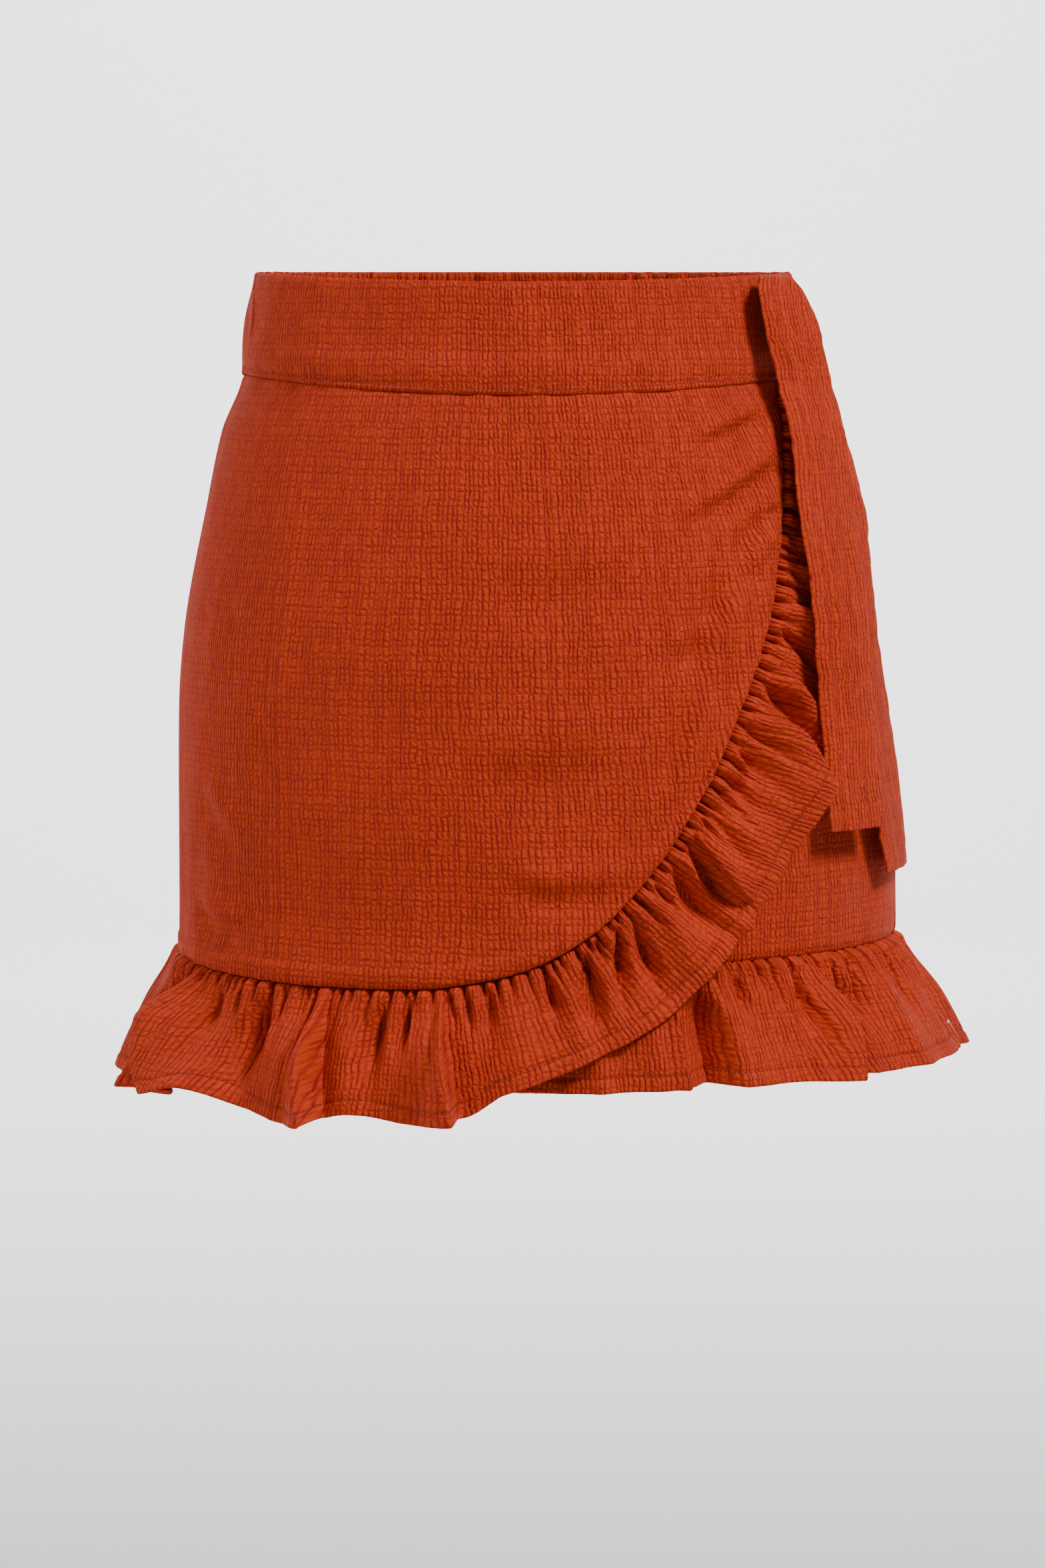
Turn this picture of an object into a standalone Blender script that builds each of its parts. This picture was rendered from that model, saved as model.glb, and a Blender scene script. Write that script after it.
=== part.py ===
"""A mock-wrap skort in crinkle crepe, filled out as it is worn.

The skirt hangs from a smooth front waistband and a gathered back one. Its wrap panel runs from one
side seam to a curved edge at the other hip, over a plain under panel. A gathered ruffle is sewn to
the wrap edge and the hems, a tie with two ends hangs at the hip, and shorts are sewn in inside.

The origin is the middle of the waist opening, at the top of the waistband. +Z is up and the front
looks along -Y. An angle goes round the body from the middle front, towards +X, and a depth is a
distance below the waist. Lengths are in metres.
"""

import math

import bmesh
import bpy
from mathutils import Vector

GARMENT = "mock_wrap_skort"

# Cloth: walls and seams
CREPE = 0.0011  # one layer of crinkle crepe, blisters and all
BAND_CLOTH = 0.0030  # front waistband: folded crepe over its facing
ELASTIC_BAND = 0.0026  # back waistband: crepe gathered on elastic
TIE_CLOTH = 0.0018  # tie end: turned and pressed double
SEAM = 0.0003  # between pieces that are sewn together

# The worn form: an ellipse at each depth, and how far the hips stand to one side
# Columns: depth, half width, half depth (front to back) and sway
FORM = (
    (0.000, 0.1130, 0.0830, 0.0000),
    (0.020, 0.1170, 0.0855, 0.0005),
    (0.043, 0.1200, 0.0890, 0.0010),
    (0.066, 0.1298, 0.0945, 0.0016),
    (0.100, 0.1382, 0.1000, 0.0025),
    (0.146, 0.1478, 0.1050, 0.0030),
    (0.170, 0.1506, 0.1065, 0.0032),
    (0.200, 0.1530, 0.1075, 0.0045),
    (0.256, 0.1554, 0.1080, 0.0068),
    (0.350, 0.1560, 0.1080, 0.0068),
)
SIDE_SEAM = 84.0  # angle of the side seams, in degrees

# Waistband
BAND_HEIGHT = 0.0415  # at the side seams
FRONT_DIP = 0.0035  # how much lower its top edge is at the middle front
FRONT_EXTRA = 0.0030  # how much taller it is there
SEAM_BOW = 8.0  # how far its side seams bow towards the front, in degrees
BAND_OUT = 0.0004  # its outer face stands this far out from the panels'
BAND_END = 54.0  # angle where the wrap's band ends, under the tie
BACK_BAND_OUT = 0.0008
BACK_BAND_GATHERS = 40
BACK_BAND_WAVE = 0.0010

# Panels
UNDER_OUT = -0.0023  # the under panel's outer face, against the wrap panel's
UNDER_EDGE = -14.0  # angle of its free edge, hidden behind the wrap panel
UNDER_HEM = 0.2815  # depth of its ruffle seam
BACK_OUT = -0.0008
BACK_HEM = (0.2820, 0.2874)  # at the +X side seam and at the other one
BACK_WAVES = 16  # soft folds that the gathered waist sends down the back
BACK_WAVE = 0.0016
BACK_WAVE_LEFT = 0.35  # share of their height that is left at the hem

# The wrap panel's edge, where its ruffle is sewn on, from the side seam round to the waistband
# Columns: angle and depth
WRAP_EDGE = (
    (-84.0, 0.2874),
    (-70.6, 0.2876),
    (-59.5, 0.2890),
    (-40.0, 0.2905),
    (-20.0, 0.2902),
    (-5.0, 0.2840),
    (7.0, 0.2690),
    (19.5, 0.2360),
    (30.5, 0.1945),
    (40.0, 0.1530),
    (48.3, 0.1062),
    (54.0, 0.0700),
    (59.5, 0.0450),
)
WRAP_CORNER = 0.64  # share of the edge's length where the hem is taken to turn into the side

# Ruffles: a row is a place along the seam, the ruffle's cut depth and how far its hem stands out
# Columns: along, cut and flare
WRAP_RUFFLE = (
    (0.000, 0.0630, 0.0250),
    (0.035, 0.0575, 0.0230),
    (0.052, 0.0545, 0.0215),
    (0.066, 0.0485, 0.0205),
    (0.085, 0.0535, 0.0205),
    (0.107, 0.0585, 0.0205),
    (0.128, 0.0520, 0.0200),
    (0.150, 0.0545, 0.0195),
    (0.162, 0.0540, 0.0190),
    (0.176, 0.0470, 0.0165),
    (0.204, 0.0430, 0.0145),
    (0.238, 0.0435, 0.0130),
    (0.270, 0.0430, 0.0110),
    (0.312, 0.0415, 0.0070),
    (0.326, 0.0405, 0.0036),
    (0.390, 0.0420, 0.0014),
    (0.480, 0.0340, 0.0012),
)
UNDER_RUFFLE = (
    (0.000, 0.050, 0.0035),
    (0.035, 0.050, 0.0045),
    (0.062, 0.050, 0.0120),
    (0.110, 0.051, 0.0220),
    (0.160, 0.053, 0.0250),
    (0.236, 0.055, 0.0290),
)
BACK_RUFFLE = (
    (0.000, 0.055, 0.0290),
    (0.050, 0.056, 0.0250),
    (0.390, 0.057, 0.0250),
    (0.440, 0.060, 0.0250),
)

# Folds of a ruffle's hem: a row is where a fold starts along the seam, how far it lifts out, the
# shares of the fold where it is fully up and where it turns down again, and how far its sides lean
# Columns: start, lift, up by, down from and lean
WRAP_FOLDS = (
    (0.0000, 0.0040, 0.50, 0.60, 0.000),
    (0.0480, 0.0120, 0.22, 0.86, 0.004),
    (0.1068, 0.0125, 0.60, 0.90, 0.005),
    (0.1584, 0.0030, 0.50, 0.60, 0.000),
    (0.1820, 0.0030, 0.50, 0.60, 0.000),
    (0.2003, 0.0035, 0.50, 0.65, 0.000),
    (0.2220, 0.0030, 0.50, 0.60, 0.000),
    (0.2381, 0.0040, 0.50, 0.65, 0.000),
    (0.2727, 0.0020, 0.50, 0.60, 0.000),
    (0.2864, 0.0105, 0.66, 0.80, 0.000),
    (0.3265, 0.0008, 0.50, 0.60, 0.000),
    (0.3557, 0.0025, 0.50, 0.65, 0.000),
    (0.3709, 0.0025, 0.50, 0.65, 0.000),
    (0.3855, 0.0025, 0.50, 0.65, 0.000),
    (0.4053, 0.0020, 0.50, 0.65, 0.000),
    (0.4200, 0.0018, 0.50, 0.65, 0.000),
    (0.4440, 0.0014, 0.50, 0.65, 0.000),
)
UNDER_FOLDS = (
    (0.0000, 0.0020, 0.40, 0.60, 0.000),
    (0.0500, 0.0025, 0.50, 0.70, 0.000),
    (0.0837, 0.0040, 0.50, 0.70, 0.000),
    (0.1072, 0.0040, 0.50, 0.75, 0.000),
    (0.1349, 0.0080, 0.55, 0.86, 0.003),
    (0.1644, 0.0050, 0.50, 0.75, 0.002),
    (0.2020, 0.0030, 0.50, 0.70, 0.000),
)
BACK_FOLDS = (
    (0.000, 0.0050, 0.50, 0.60, 0.000),
    (0.048, 0.0080, 0.50, 0.80, 0.004),
    (0.104, 0.0070, 0.45, 0.75, 0.003),
    (0.152, 0.0090, 0.50, 0.82, 0.005),
    (0.212, 0.0070, 0.50, 0.75, 0.003),
    (0.258, 0.0080, 0.40, 0.80, 0.004),
    (0.316, 0.0070, 0.50, 0.80, 0.003),
    (0.366, 0.0050, 0.50, 0.70, 0.002),
    (0.408, 0.0030, 0.50, 0.60, 0.000),
)
WRAP_RUFFLE_OUT = -0.0002  # the middle of its wall at the seam, against the wrap panel's face
UNDER_RUFFLE_OUT = -0.0034
BACK_RUFFLE_OUT = BACK_OUT - CREPE / 2
WRAP_GATHERS = 68
UNDER_GATHERS = 24
BACK_GATHERS = 50
FLARE_BEND = 0.9  # how early a ruffle turns outwards below its seam, early below 1
GATHER_WAVE = 0.0010  # half the height of a gather
GATHER_PEAK = 0.13  # share of the ruffle's depth where it is highest
GATHER_END = 0.62
PUCKER = 0.0012  # half the height of the folds that the gathers merge into
PUCKER_PITCH = 0.018

# Ties: a row is a section across the cloth, from its hidden root to its free end
# Columns: depth, left angle, left out, right angle and right out
TIE_FRONT = (
    (0.0300, 56.5, 0.0018, 64.0, 0.0018),
    (0.0120, 56.5, 0.0020, 65.0, 0.0022),
    (0.0030, 56.0, 0.0028, 65.5, 0.0036),
    (0.0004, 55.0, 0.0060, 65.5, 0.0080),
    (0.0035, 52.5, 0.0092, 63.5, 0.0125),
    (0.0080, 51.4, 0.0102, 64.0, 0.0145),
    (0.0190, 51.0, 0.0106, 66.0, 0.0160),
    (0.0300, 51.8, 0.0106, 66.3, 0.0170),
    (0.0410, 53.0, 0.0106, 67.5, 0.0170),
    (0.0525, 52.6, 0.0106, 67.5, 0.0160),
    (0.0630, 51.4, 0.0106, 65.8, 0.0152),
    (0.0790, 50.0, 0.0106, 64.6, 0.0142),
    (0.0960, 49.0, 0.0106, 63.7, 0.0134),
    (0.1180, 48.6, 0.0104, 62.5, 0.0128),
    (0.1400, 48.4, 0.0100, 61.2, 0.0124),
    (0.1620, 48.2, 0.0092, 60.3, 0.0120),
    (0.1890, 48.2, 0.0086, 60.1, 0.0112),
    (0.2120, 48.3, 0.0082, 60.2, 0.0104),
    (0.2285, 48.5, 0.0078, 60.5, 0.0100),
)
TIE_BACK = (
    (0.0370, 65.0, 0.0018, 73.0, 0.0018),
    (0.0450, 62.5, 0.0060, 72.0, 0.0058),
    (0.0550, 59.5, 0.0076, 71.0, 0.0084),
    (0.0700, 58.0, 0.0078, 71.4, 0.0102),
    (0.0970, 57.5, 0.0078, 72.0, 0.0106),
    (0.1190, 57.5, 0.0078, 69.6, 0.0096),
    (0.1420, 58.0, 0.0076, 69.6, 0.0076),
    (0.1640, 59.0, 0.0074, 70.8, 0.0064),
    (0.2050, 61.5, 0.0066, 75.2, 0.0050),
    (0.2300, 63.3, 0.0058, 78.2, 0.0042),
    (0.2500, 66.5, 0.0048, 81.5, 0.0036),
)

# Label on the under ruffle's hem, at the side seam
LABEL = (0.0042, 0.0100, 0.0006)  # across, high and thick
LABEL_HEM = 0.0006  # from the hem up to its lower edge

# Shorts: two legs, hidden inside
SHORTS_TUCK = -0.0036  # their outer face inside the waistband, against the wrap panel's
SHORTS_OUT = -0.0056  # and below it
LEG_ROWS = (0.0365, 0.0415, 0.052, 0.075, 0.105, 0.135, 0.160, 0.180, 0.195, 0.205, 0.245, 0.285)
FORK_START = 0.125  # where the crotch curve leaves the middle front and back
CROTCH = 0.205
LEG = (0.067, 0.080)  # half a leg's width and half its size from front to back, at the crotch
THIGH_TAPER = 0.004  # how much nearer its own middle each side of a leg is at the hem

# Steps of the meshes across, and the shares down at which the rows of points lie
FRONT_STEPS = 24
UNDER_STEPS = 14
BACK_STEPS = BACK_WAVES * 3
BAND_STEPS = 28
BAND_UNDER_STEPS = 6
LEG_STEPS = 24
TIE_STEPS = 4
BAND_ROWS = (0.0, 0.5, 1.0)
PANEL_ROWS = (0.0, 0.06, 0.15, 0.28, 0.45, 0.64, 0.82, 1.0)
RUFFLE_ROWS = (0.0, 0.13, 0.40, 0.70, 1.0)

RUST = (0.58, 0.075, 0.018)
LABEL_RED = (0.45, 0.02, 0.02)


# Reading the tables


def slope(rows, k, column):
    """The slope of a table's curve at a row: none at a turning point, so that it never overshoots."""
    if k in (0, len(rows) - 1):
        near = rows[1] if k == 0 else rows[-2]
        return (near[column] - rows[k][column]) / (near[0] - rows[k][0])
    before = (rows[k][column] - rows[k - 1][column]) / (rows[k][0] - rows[k - 1][0])
    after = (rows[k + 1][column] - rows[k][column]) / (rows[k + 1][0] - rows[k][0])
    return 0.0 if before * after <= 0 else 2 * before * after / (before + after)


def read(rows, place):
    """The values of a table at a place in its first column, on a smooth curve through its rows."""
    place = min(max(place, rows[0][0]), rows[-1][0])
    k = next(i for i in range(1, len(rows)) if place <= rows[i][0])
    low, high = rows[k - 1], rows[k]
    span = high[0] - low[0]
    t = (place - low[0]) / span
    values = []
    for column in range(1, len(low)):
        leave, arrive = slope(rows, k - 1, column) * span, slope(rows, k, column) * span
        bend = (2 * t**3 - 3 * t**2 + 1) * low[column] + (3 * t**2 - 2 * t**3) * high[column]
        values.append(bend + (t**3 - 2 * t**2 + t) * leave + (t**3 - t**2) * arrive)
    return values


def mix(a, b, t):
    return a + (b - a) * t


def ease(t):
    """A smooth step from 0 to 1."""
    t = min(max(t, 0.0), 1.0)
    return t * t * (3 - 2 * t)


# The worn form


def on_form(angle, depth, out=0.0):
    """The point of the worn form at an angle and a depth, moved out."""
    half_width, half_depth, sway = read(FORM, depth)
    turn = math.radians(angle)
    return Vector(
        (
            sway + (half_width + out) * math.sin(turn),
            -(half_depth + out) * math.cos(turn),
            -depth,
        )
    )


def frontness(angle):
    """1 at the middle front, 0 from the sides round the back."""
    return max(0.0, math.cos(math.radians(angle))) ** 2


def band_top(angle):
    return FRONT_DIP * frontness(angle)


def band_bottom(angle):
    return BAND_HEIGHT + (FRONT_DIP + FRONT_EXTRA) * frontness(angle)


def band_seam(share):
    """The angle of a waistband's side seam, at a share of its height."""
    return SIDE_SEAM - SEAM_BOW * math.sin(math.pi * share)


def seam_angle(depth):
    """Half a seam's gap at the sides, as an angle there."""
    return math.degrees(SEAM / 2 / read(FORM, depth)[1])


class Seam:
    """A seam's line on the worn form, read by the length along it."""

    SAMPLES = 300

    def __init__(self, depth_at, start, end):
        self.angles = [mix(start, end, i / self.SAMPLES) for i in range(self.SAMPLES + 1)]
        self.depths = [depth_at(angle) for angle in self.angles]
        points = [on_form(a, d) for a, d in zip(self.angles, self.depths)]
        self.lengths = [0.0]
        for before, after in zip(points, points[1:]):
            self.lengths.append(self.lengths[-1] + (after - before).length)
        self.length = self.lengths[-1]

    def at(self, along):
        """The angle and depth at a length along the seam."""
        along = min(max(along, 0.0), self.length)
        k = next(i for i in range(1, len(self.lengths)) if along <= self.lengths[i] + 1e-9)
        t = (along - self.lengths[k - 1]) / (self.lengths[k] - self.lengths[k - 1])
        return mix(self.angles[k - 1], self.angles[k], t), mix(self.depths[k - 1], self.depths[k], t)

    def heading(self, along):
        """The seam's direction at a length along it: across and down, a unit vector."""
        reach = 0.004
        behind, ahead = self.at(along - reach), self.at(along + reach)
        metres = metres_per_degree(*self.at(along))
        across, down = (ahead[0] - behind[0]) * metres, ahead[1] - behind[1]
        size = math.hypot(across, down)
        return across / size, down / size


def metres_per_degree(angle, depth):
    return (on_form(angle + 0.5, depth) - on_form(angle - 0.5, depth)).length


# Making cloth


def material(name, colour):
    """A matte cloth finish."""
    finish = bpy.data.materials.new(name)
    finish.use_nodes = True
    shader = finish.node_tree.nodes["Principled BSDF"]
    shader.inputs["Base Color"].default_value = (*colour, 1.0)
    shader.inputs["Roughness"].default_value = 0.8
    shader.inputs["Metallic"].default_value = 0.0
    finish.diffuse_color = (*colour, 1.0)
    return finish


def cloth(name, point, across, down, thickness, colour, centred=False):
    """A flat grid laid on the body by point(across share, down share), and thickened.

    across is a number of steps, and down the shares at which the rows lie. The laid face is the
    outer one, or the middle of the wall if centred.
    """
    last = len(down) - 1
    flat = bmesh.new()
    bmesh.ops.create_grid(flat, x_segments=across, y_segments=last, size=0.5)
    for vertex in flat.verts:
        vertex.co = point(vertex.co.x + 0.5, down[round((0.5 - vertex.co.y) * last)])
    mesh = bpy.data.meshes.new(name)
    flat.to_mesh(mesh)
    flat.free()
    mesh.materials.append(material(name + "_cloth", colour))
    mesh.shade_smooth()
    piece = bpy.data.objects.new(name, mesh)
    skort.objects.link(piece)
    wall = piece.modifiers.new("wall", "SOLIDIFY")
    wall.thickness = thickness
    wall.offset = 0.0 if centred else -1.0
    return piece


def moved_out(place, out):
    """A point moved straight out from the upright line through the waist's middle."""
    return place + Vector((place.x, place.y, 0.0)).normalized() * out


def ends_flat(share):
    """0 at both ends of a piece, so that gathers lie flat at its side seams, and 1 between."""
    return ease(10 * share) * ease(10 * (1 - share))


# Waistband


def band_point(left, right, out):
    """A waistband's outer face between two angles, which may follow the share of its height."""

    def point(u, v):
        angle = mix(left(v), right(v), u)
        return on_form(angle, mix(band_top(angle), band_bottom(angle), v), out)

    return point


def make_waistband():
    gap = seam_angle(0.0)
    front = band_point(lambda v: gap - band_seam(v), lambda v: BAND_END - gap, BAND_OUT)
    under = band_point(lambda v: BAND_END + gap, lambda v: band_seam(v) - gap, BAND_OUT)

    def gathered(u, v):
        bow = (SIDE_SEAM - band_seam(v)) * (1 - 2 * u) ** 5
        angle = mix(SIDE_SEAM + gap, 360.0 - SIDE_SEAM - gap, u) - bow
        wave = BACK_BAND_WAVE * math.cos(2 * math.pi * BACK_BAND_GATHERS * u)
        depth = mix(band_top(angle), band_bottom(angle), v)
        return on_form(angle, depth, BACK_BAND_OUT + wave * ends_flat(u))

    cloth("waistband_front", front, BAND_STEPS, BAND_ROWS, BAND_CLOTH, RUST)
    cloth("waistband_under", under, BAND_UNDER_STEPS, BAND_ROWS, BAND_CLOTH, RUST)
    cloth("waistband_back", gathered, 2 * BACK_BAND_GATHERS, BAND_ROWS, ELASTIC_BAND, RUST)


# Panels


def wrap_edge_depth(angle):
    return read(WRAP_EDGE, angle)[0]


def wrap_point(u, v):
    """The wrap panel: its top, side seam, hem and curved edge, filled in between."""
    turn = wrap_seam.length * WRAP_CORNER
    start, end = wrap_seam.angles[0], wrap_seam.angles[-1]

    def top(share):
        angle = mix(start, end, share)
        return Vector((angle, band_bottom(angle) + SEAM))

    def hem(share):
        return Vector(wrap_seam.at(turn * share))

    def side(share):
        return Vector(wrap_seam.at(mix(wrap_seam.length, turn, share)))

    def side_seam(share):
        return Vector((start, mix(top(0).y, hem(0).y, share)))

    corners = (
        top(0) * (1 - u) * (1 - v)
        + side(0) * u * (1 - v)
        + hem(0) * (1 - u) * v
        + hem(1) * u * v
    )
    place = mix(top(u), hem(u), v) + mix(side_seam(v), side(v), u) - corners
    return on_form(place.x, place.y)


def hanging(left, right, top, bottom, out):
    """A panel's outer face between two angles, from the waistband to its hem."""

    def point(u, v):
        angle = mix(left, right, u)
        return on_form(angle, mix(top(angle), bottom(angle), v), out)

    return point


def below_band(angle):
    """The depth of the top of a panel that isn't in line with the waistband's face."""
    return band_bottom(angle) + 2 * SEAM


def under_hem(angle):
    return UNDER_HEM


def back_hem(angle):
    return mix(*BACK_HEM, (angle - SIDE_SEAM) / (360.0 - 2 * SIDE_SEAM))


def make_panels():
    gap = seam_angle(UNDER_HEM)
    under = hanging(UNDER_EDGE, SIDE_SEAM - gap, below_band, under_hem, UNDER_OUT)
    back = hanging(SIDE_SEAM + gap, 360.0 - SIDE_SEAM - gap, below_band, back_hem, BACK_OUT)

    def waved(u, v):
        wave = BACK_WAVE * (0.5 + 0.5 * math.cos(2 * math.pi * BACK_WAVES * u))
        return moved_out(back(u, v), wave * ends_flat(u) * mix(1.0, BACK_WAVE_LEFT, v))

    cloth("wrap_panel", wrap_point, FRONT_STEPS, PANEL_ROWS, CREPE, RUST)
    cloth("under_panel", under, UNDER_STEPS, PANEL_ROWS, CREPE, RUST)
    cloth("back_panel", waved, BACK_STEPS, PANEL_ROWS, CREPE, RUST)


# Ruffles


def fold_at(folds, along, end):
    """How far a hem fold lifts, and leans along the seam, at a length along it."""
    k = max(i for i, row in enumerate(folds) if row[0] <= along + 1e-9)
    start, lift, up_by, down_from, lean = folds[k]
    stop = folds[k + 1][0] if k + 1 < len(folds) else end
    share = min((along - start) / (stop - start), 1.0)
    rise = ease(share / up_by) * ease((1 - share) / (1 - down_from))
    return lift * rise, lean * rise * (2 * share - 1)


def gather_height(v):
    """A gather is flat in the seam, highest just below it and gone half way down the ruffle."""
    return ease(v / GATHER_PEAK) * ease((GATHER_END - v) / (GATHER_END - GATHER_PEAK))


def ruffle_point(seam, rows, folds, gathers, out):
    """The middle of a ruffle's wall: gathered at the seam, folded at the hem."""

    def point(u, v):
        along = mix(SEAM, seam.length - SEAM, u)
        cut, flare = read(rows, along)
        lift, lean = fold_at(folds, along, seam.length)
        angle, depth = seam.at(along)
        across, down = seam.heading(along)
        stand = flare * v**FLARE_BEND + lift * v
        fall = 2 * SEAM + v * math.sqrt(cut**2 - flare**2)
        lean *= v
        metres = metres_per_degree(angle, depth)
        gather = GATHER_WAVE * gather_height(v) * math.cos(2 * math.pi * gathers * u)
        pucker = PUCKER * math.sin(math.pi * v) * math.sin(2 * math.pi * along / PUCKER_PITCH)
        return on_form(
            angle + (across * lean - down * fall) / metres,
            depth + down * lean + across * fall,
            out + stand + gather + pucker,
        )

    return point


def make_ruffles():
    under_seam = Seam(under_hem, UNDER_EDGE, SIDE_SEAM)
    back_seam = Seam(back_hem, SIDE_SEAM, 360.0 - SIDE_SEAM)
    wrap = ruffle_point(wrap_seam, WRAP_RUFFLE, WRAP_FOLDS, WRAP_GATHERS, WRAP_RUFFLE_OUT)
    under = ruffle_point(under_seam, UNDER_RUFFLE, UNDER_FOLDS, UNDER_GATHERS, UNDER_RUFFLE_OUT)
    back = ruffle_point(back_seam, BACK_RUFFLE, BACK_FOLDS, BACK_GATHERS, BACK_RUFFLE_OUT)
    for name, point, gathers in (
        ("wrap_ruffle", wrap, WRAP_GATHERS),
        ("under_ruffle", under, UNDER_GATHERS),
        ("back_ruffle", back, BACK_GATHERS),
    ):
        cloth(name, point, 2 * gathers, RUFFLE_ROWS, CREPE, RUST, centred=True)

    across, high, thick = LABEL
    step = 1 / (2 * UNDER_GATHERS)
    upper = RUFFLE_ROWS[-2]
    tall = (1 - upper) * UNDER_RUFFLE[-1][1]

    def label(u, v):
        """On the flat between the ruffle's last points at the side seam and its hem."""
        s = 1 - across / (step * under_seam.length) * (1 - u)
        t = 1 - (LABEL_HEM + high * (1 - v)) / tall
        above = mix(under(1 - step, upper), under(1.0, upper), s)
        below = mix(under(1 - step, 1.0), under(1.0, 1.0), s)
        side = (below - above).cross(under(1.0, upper) - under(1 - step, upper)).normalized()
        return mix(above, below, t) + side * (CREPE / 2 + 2 * SEAM + thick / 2)

    cloth("hem_label", label, 1, (0.0, 1.0), thick, LABEL_RED, centred=True)


# Ties and label


def tie_point(rows):
    """A tie end's middle, across from its left edge to its right and down from its root."""
    sections = [(k, *row) for k, row in enumerate(rows)]

    def point(u, v):
        depth, left, left_out, right, right_out = read(sections, v * (len(rows) - 1))
        return on_form(mix(left, right, u), depth, mix(left_out, right_out, u))

    return point


def make_ties():
    for name, rows in (("tie_front", TIE_FRONT), ("tie_back", TIE_BACK)):
        down = [k / (len(rows) - 1) for k in range(len(rows))]
        cloth(name, tie_point(rows), TIE_STEPS, down, TIE_CLOTH, RUST, centred=True)


# Shorts


def leg_point(side):
    """One leg: half of the hips above, closing into a tube from the crotch down."""

    def point(u, v):
        u = u if side > 0 else 1 - u
        depth = mix(LEG_ROWS[0], LEG_ROWS[-1], v)
        half_width, half_depth, sway = read(FORM, depth)
        out = mix(SHORTS_TUCK, SHORTS_OUT, ease((depth - LEG_ROWS[0]) / (LEG_ROWS[1] - LEG_ROWS[0])))
        half_width += out
        half_depth += out
        fork = ease((depth - FORK_START) / (CROTCH - FORK_START))
        taper = THIGH_TAPER * max(0.0, (depth - CROTCH) / (LEG_ROWS[-1] - CROTCH))
        hip = Vector((math.sin(math.pi * u) * half_width, -math.cos(math.pi * u) * half_depth))
        leg_width, leg_depth = LEG
        inseam = SEAM / (2 * math.pi * leg_depth)
        turn = 2 * math.pi * mix(inseam, 1 - inseam, u)
        leg = Vector(
            (
                leg_width - math.cos(turn) * (leg_width - taper),
                -math.sin(turn) * (leg_depth - taper),
            )
        )
        place = mix(hip, leg, fork)
        return Vector((sway + side * (SEAM + place.x), place.y, -depth))

    return point


def make_shorts():
    top, hem = LEG_ROWS[0], LEG_ROWS[-1]
    down = [(depth - top) / (hem - top) for depth in LEG_ROWS]
    for name, side in (("shorts_left", 1), ("shorts_right", -1)):
        cloth(name, leg_point(side), LEG_STEPS, down, CREPE, RUST)


# The whole garment

for old in list(bpy.data.objects):
    bpy.data.objects.remove(old)
skort = bpy.data.collections.new(GARMENT)
bpy.context.scene.collection.children.link(skort)

wrap_seam = Seam(wrap_edge_depth, WRAP_EDGE[0][0] + seam_angle(UNDER_HEM), WRAP_EDGE[-1][0])
make_waistband()
make_panels()
make_ruffles()
make_ties()
make_shorts()
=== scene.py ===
"""A mock-wrap skort in rust crinkle crepe, filled out as it is worn.

The origin is the middle of the waist opening. +Z is up, the front looks along -Y, and the tie hangs
on the +X side. An angle goes round the body from the middle front towards +X, in degrees, a depth
is a distance below the waist, and an along is a distance along a seam. Lengths are in metres,
apart from the tables that say millimetres.
"""

import math

import bpy
import numpy as np
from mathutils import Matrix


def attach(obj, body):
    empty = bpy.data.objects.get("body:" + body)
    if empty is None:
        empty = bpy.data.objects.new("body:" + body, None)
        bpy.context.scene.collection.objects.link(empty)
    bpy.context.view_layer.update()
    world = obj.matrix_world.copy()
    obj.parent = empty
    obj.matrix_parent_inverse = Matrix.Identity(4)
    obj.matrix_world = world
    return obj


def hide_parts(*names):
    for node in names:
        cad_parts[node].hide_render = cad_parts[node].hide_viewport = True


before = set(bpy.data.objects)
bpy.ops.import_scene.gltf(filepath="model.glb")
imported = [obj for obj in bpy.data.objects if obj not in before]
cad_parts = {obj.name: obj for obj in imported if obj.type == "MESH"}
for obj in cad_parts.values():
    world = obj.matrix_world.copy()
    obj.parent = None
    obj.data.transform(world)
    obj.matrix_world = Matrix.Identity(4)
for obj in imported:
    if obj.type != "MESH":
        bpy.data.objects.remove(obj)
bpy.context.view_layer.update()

# ------------------------------------------------
# Wrap panel
# One layer of crinkle crepe, cut from the -X side seam to a curved edge that crosses to the other
# hip. It hangs from the front waistband, and the ruffle is sewn on along its hem and curved edge.

CREPE = 0.0010  # one layer, blisters and all

FORM = (  # the worn form, in millimetres: depth, half width, half depth front to back, sway
    (0, 113, 83, 0),
    (20, 117, 85.5, 0.5),
    (43, 120, 89, 1),
    (66, 129.8, 94.5, 1.6),
    (100, 138.2, 100, 2.5),
    (146, 147.8, 105, 3),
    (170, 150.6, 106.5, 3.2),
    (200, 153, 107.5, 4.5),
    (256, 155.4, 108, 6.8),
    (350, 156, 108, 6.8),
)
SIDE_SEAM = 84.0  # its angle from the middle front, on both sides
BAND_HEIGHT = 0.0415  # of the waistband, at the sides and back
FRONT_DIP = 0.0035  # how far the waist's edge sinks at the front
FRONT_EXTRA = 0.0030  # how much higher the waistband is there
SEAM_GAP = 0.0003
SIDE_GAP, WRAP_SIDE_GAP = 0.06, 0.055  # half the gap at the side seams, in degrees
CLOTH_ROUND, CLOTH_DOWN = 0.00225, 1.02  # flat cloth for each degree round and metre down

WRAP_EDGE = (  # the panel's hem and curved edge: angle, depth
    (-84.0, 0.2884),
    (-70.6, 0.2890),
    (-59.5, 0.2900),
    (-40.0, 0.2911),
    (-20.0, 0.2902),
    (-5.0, 0.2840),
    (7.0, 0.2690),
    (19.5, 0.2360),
    (30.5, 0.1945),
    (40.0, 0.1530),
    (48.3, 0.1062),
    (54.0, 0.0700),
    (59.5, 0.0450),
)
WRAP_CORNER = 0.64  # share of that line where the hem is taken to turn into the side

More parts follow.
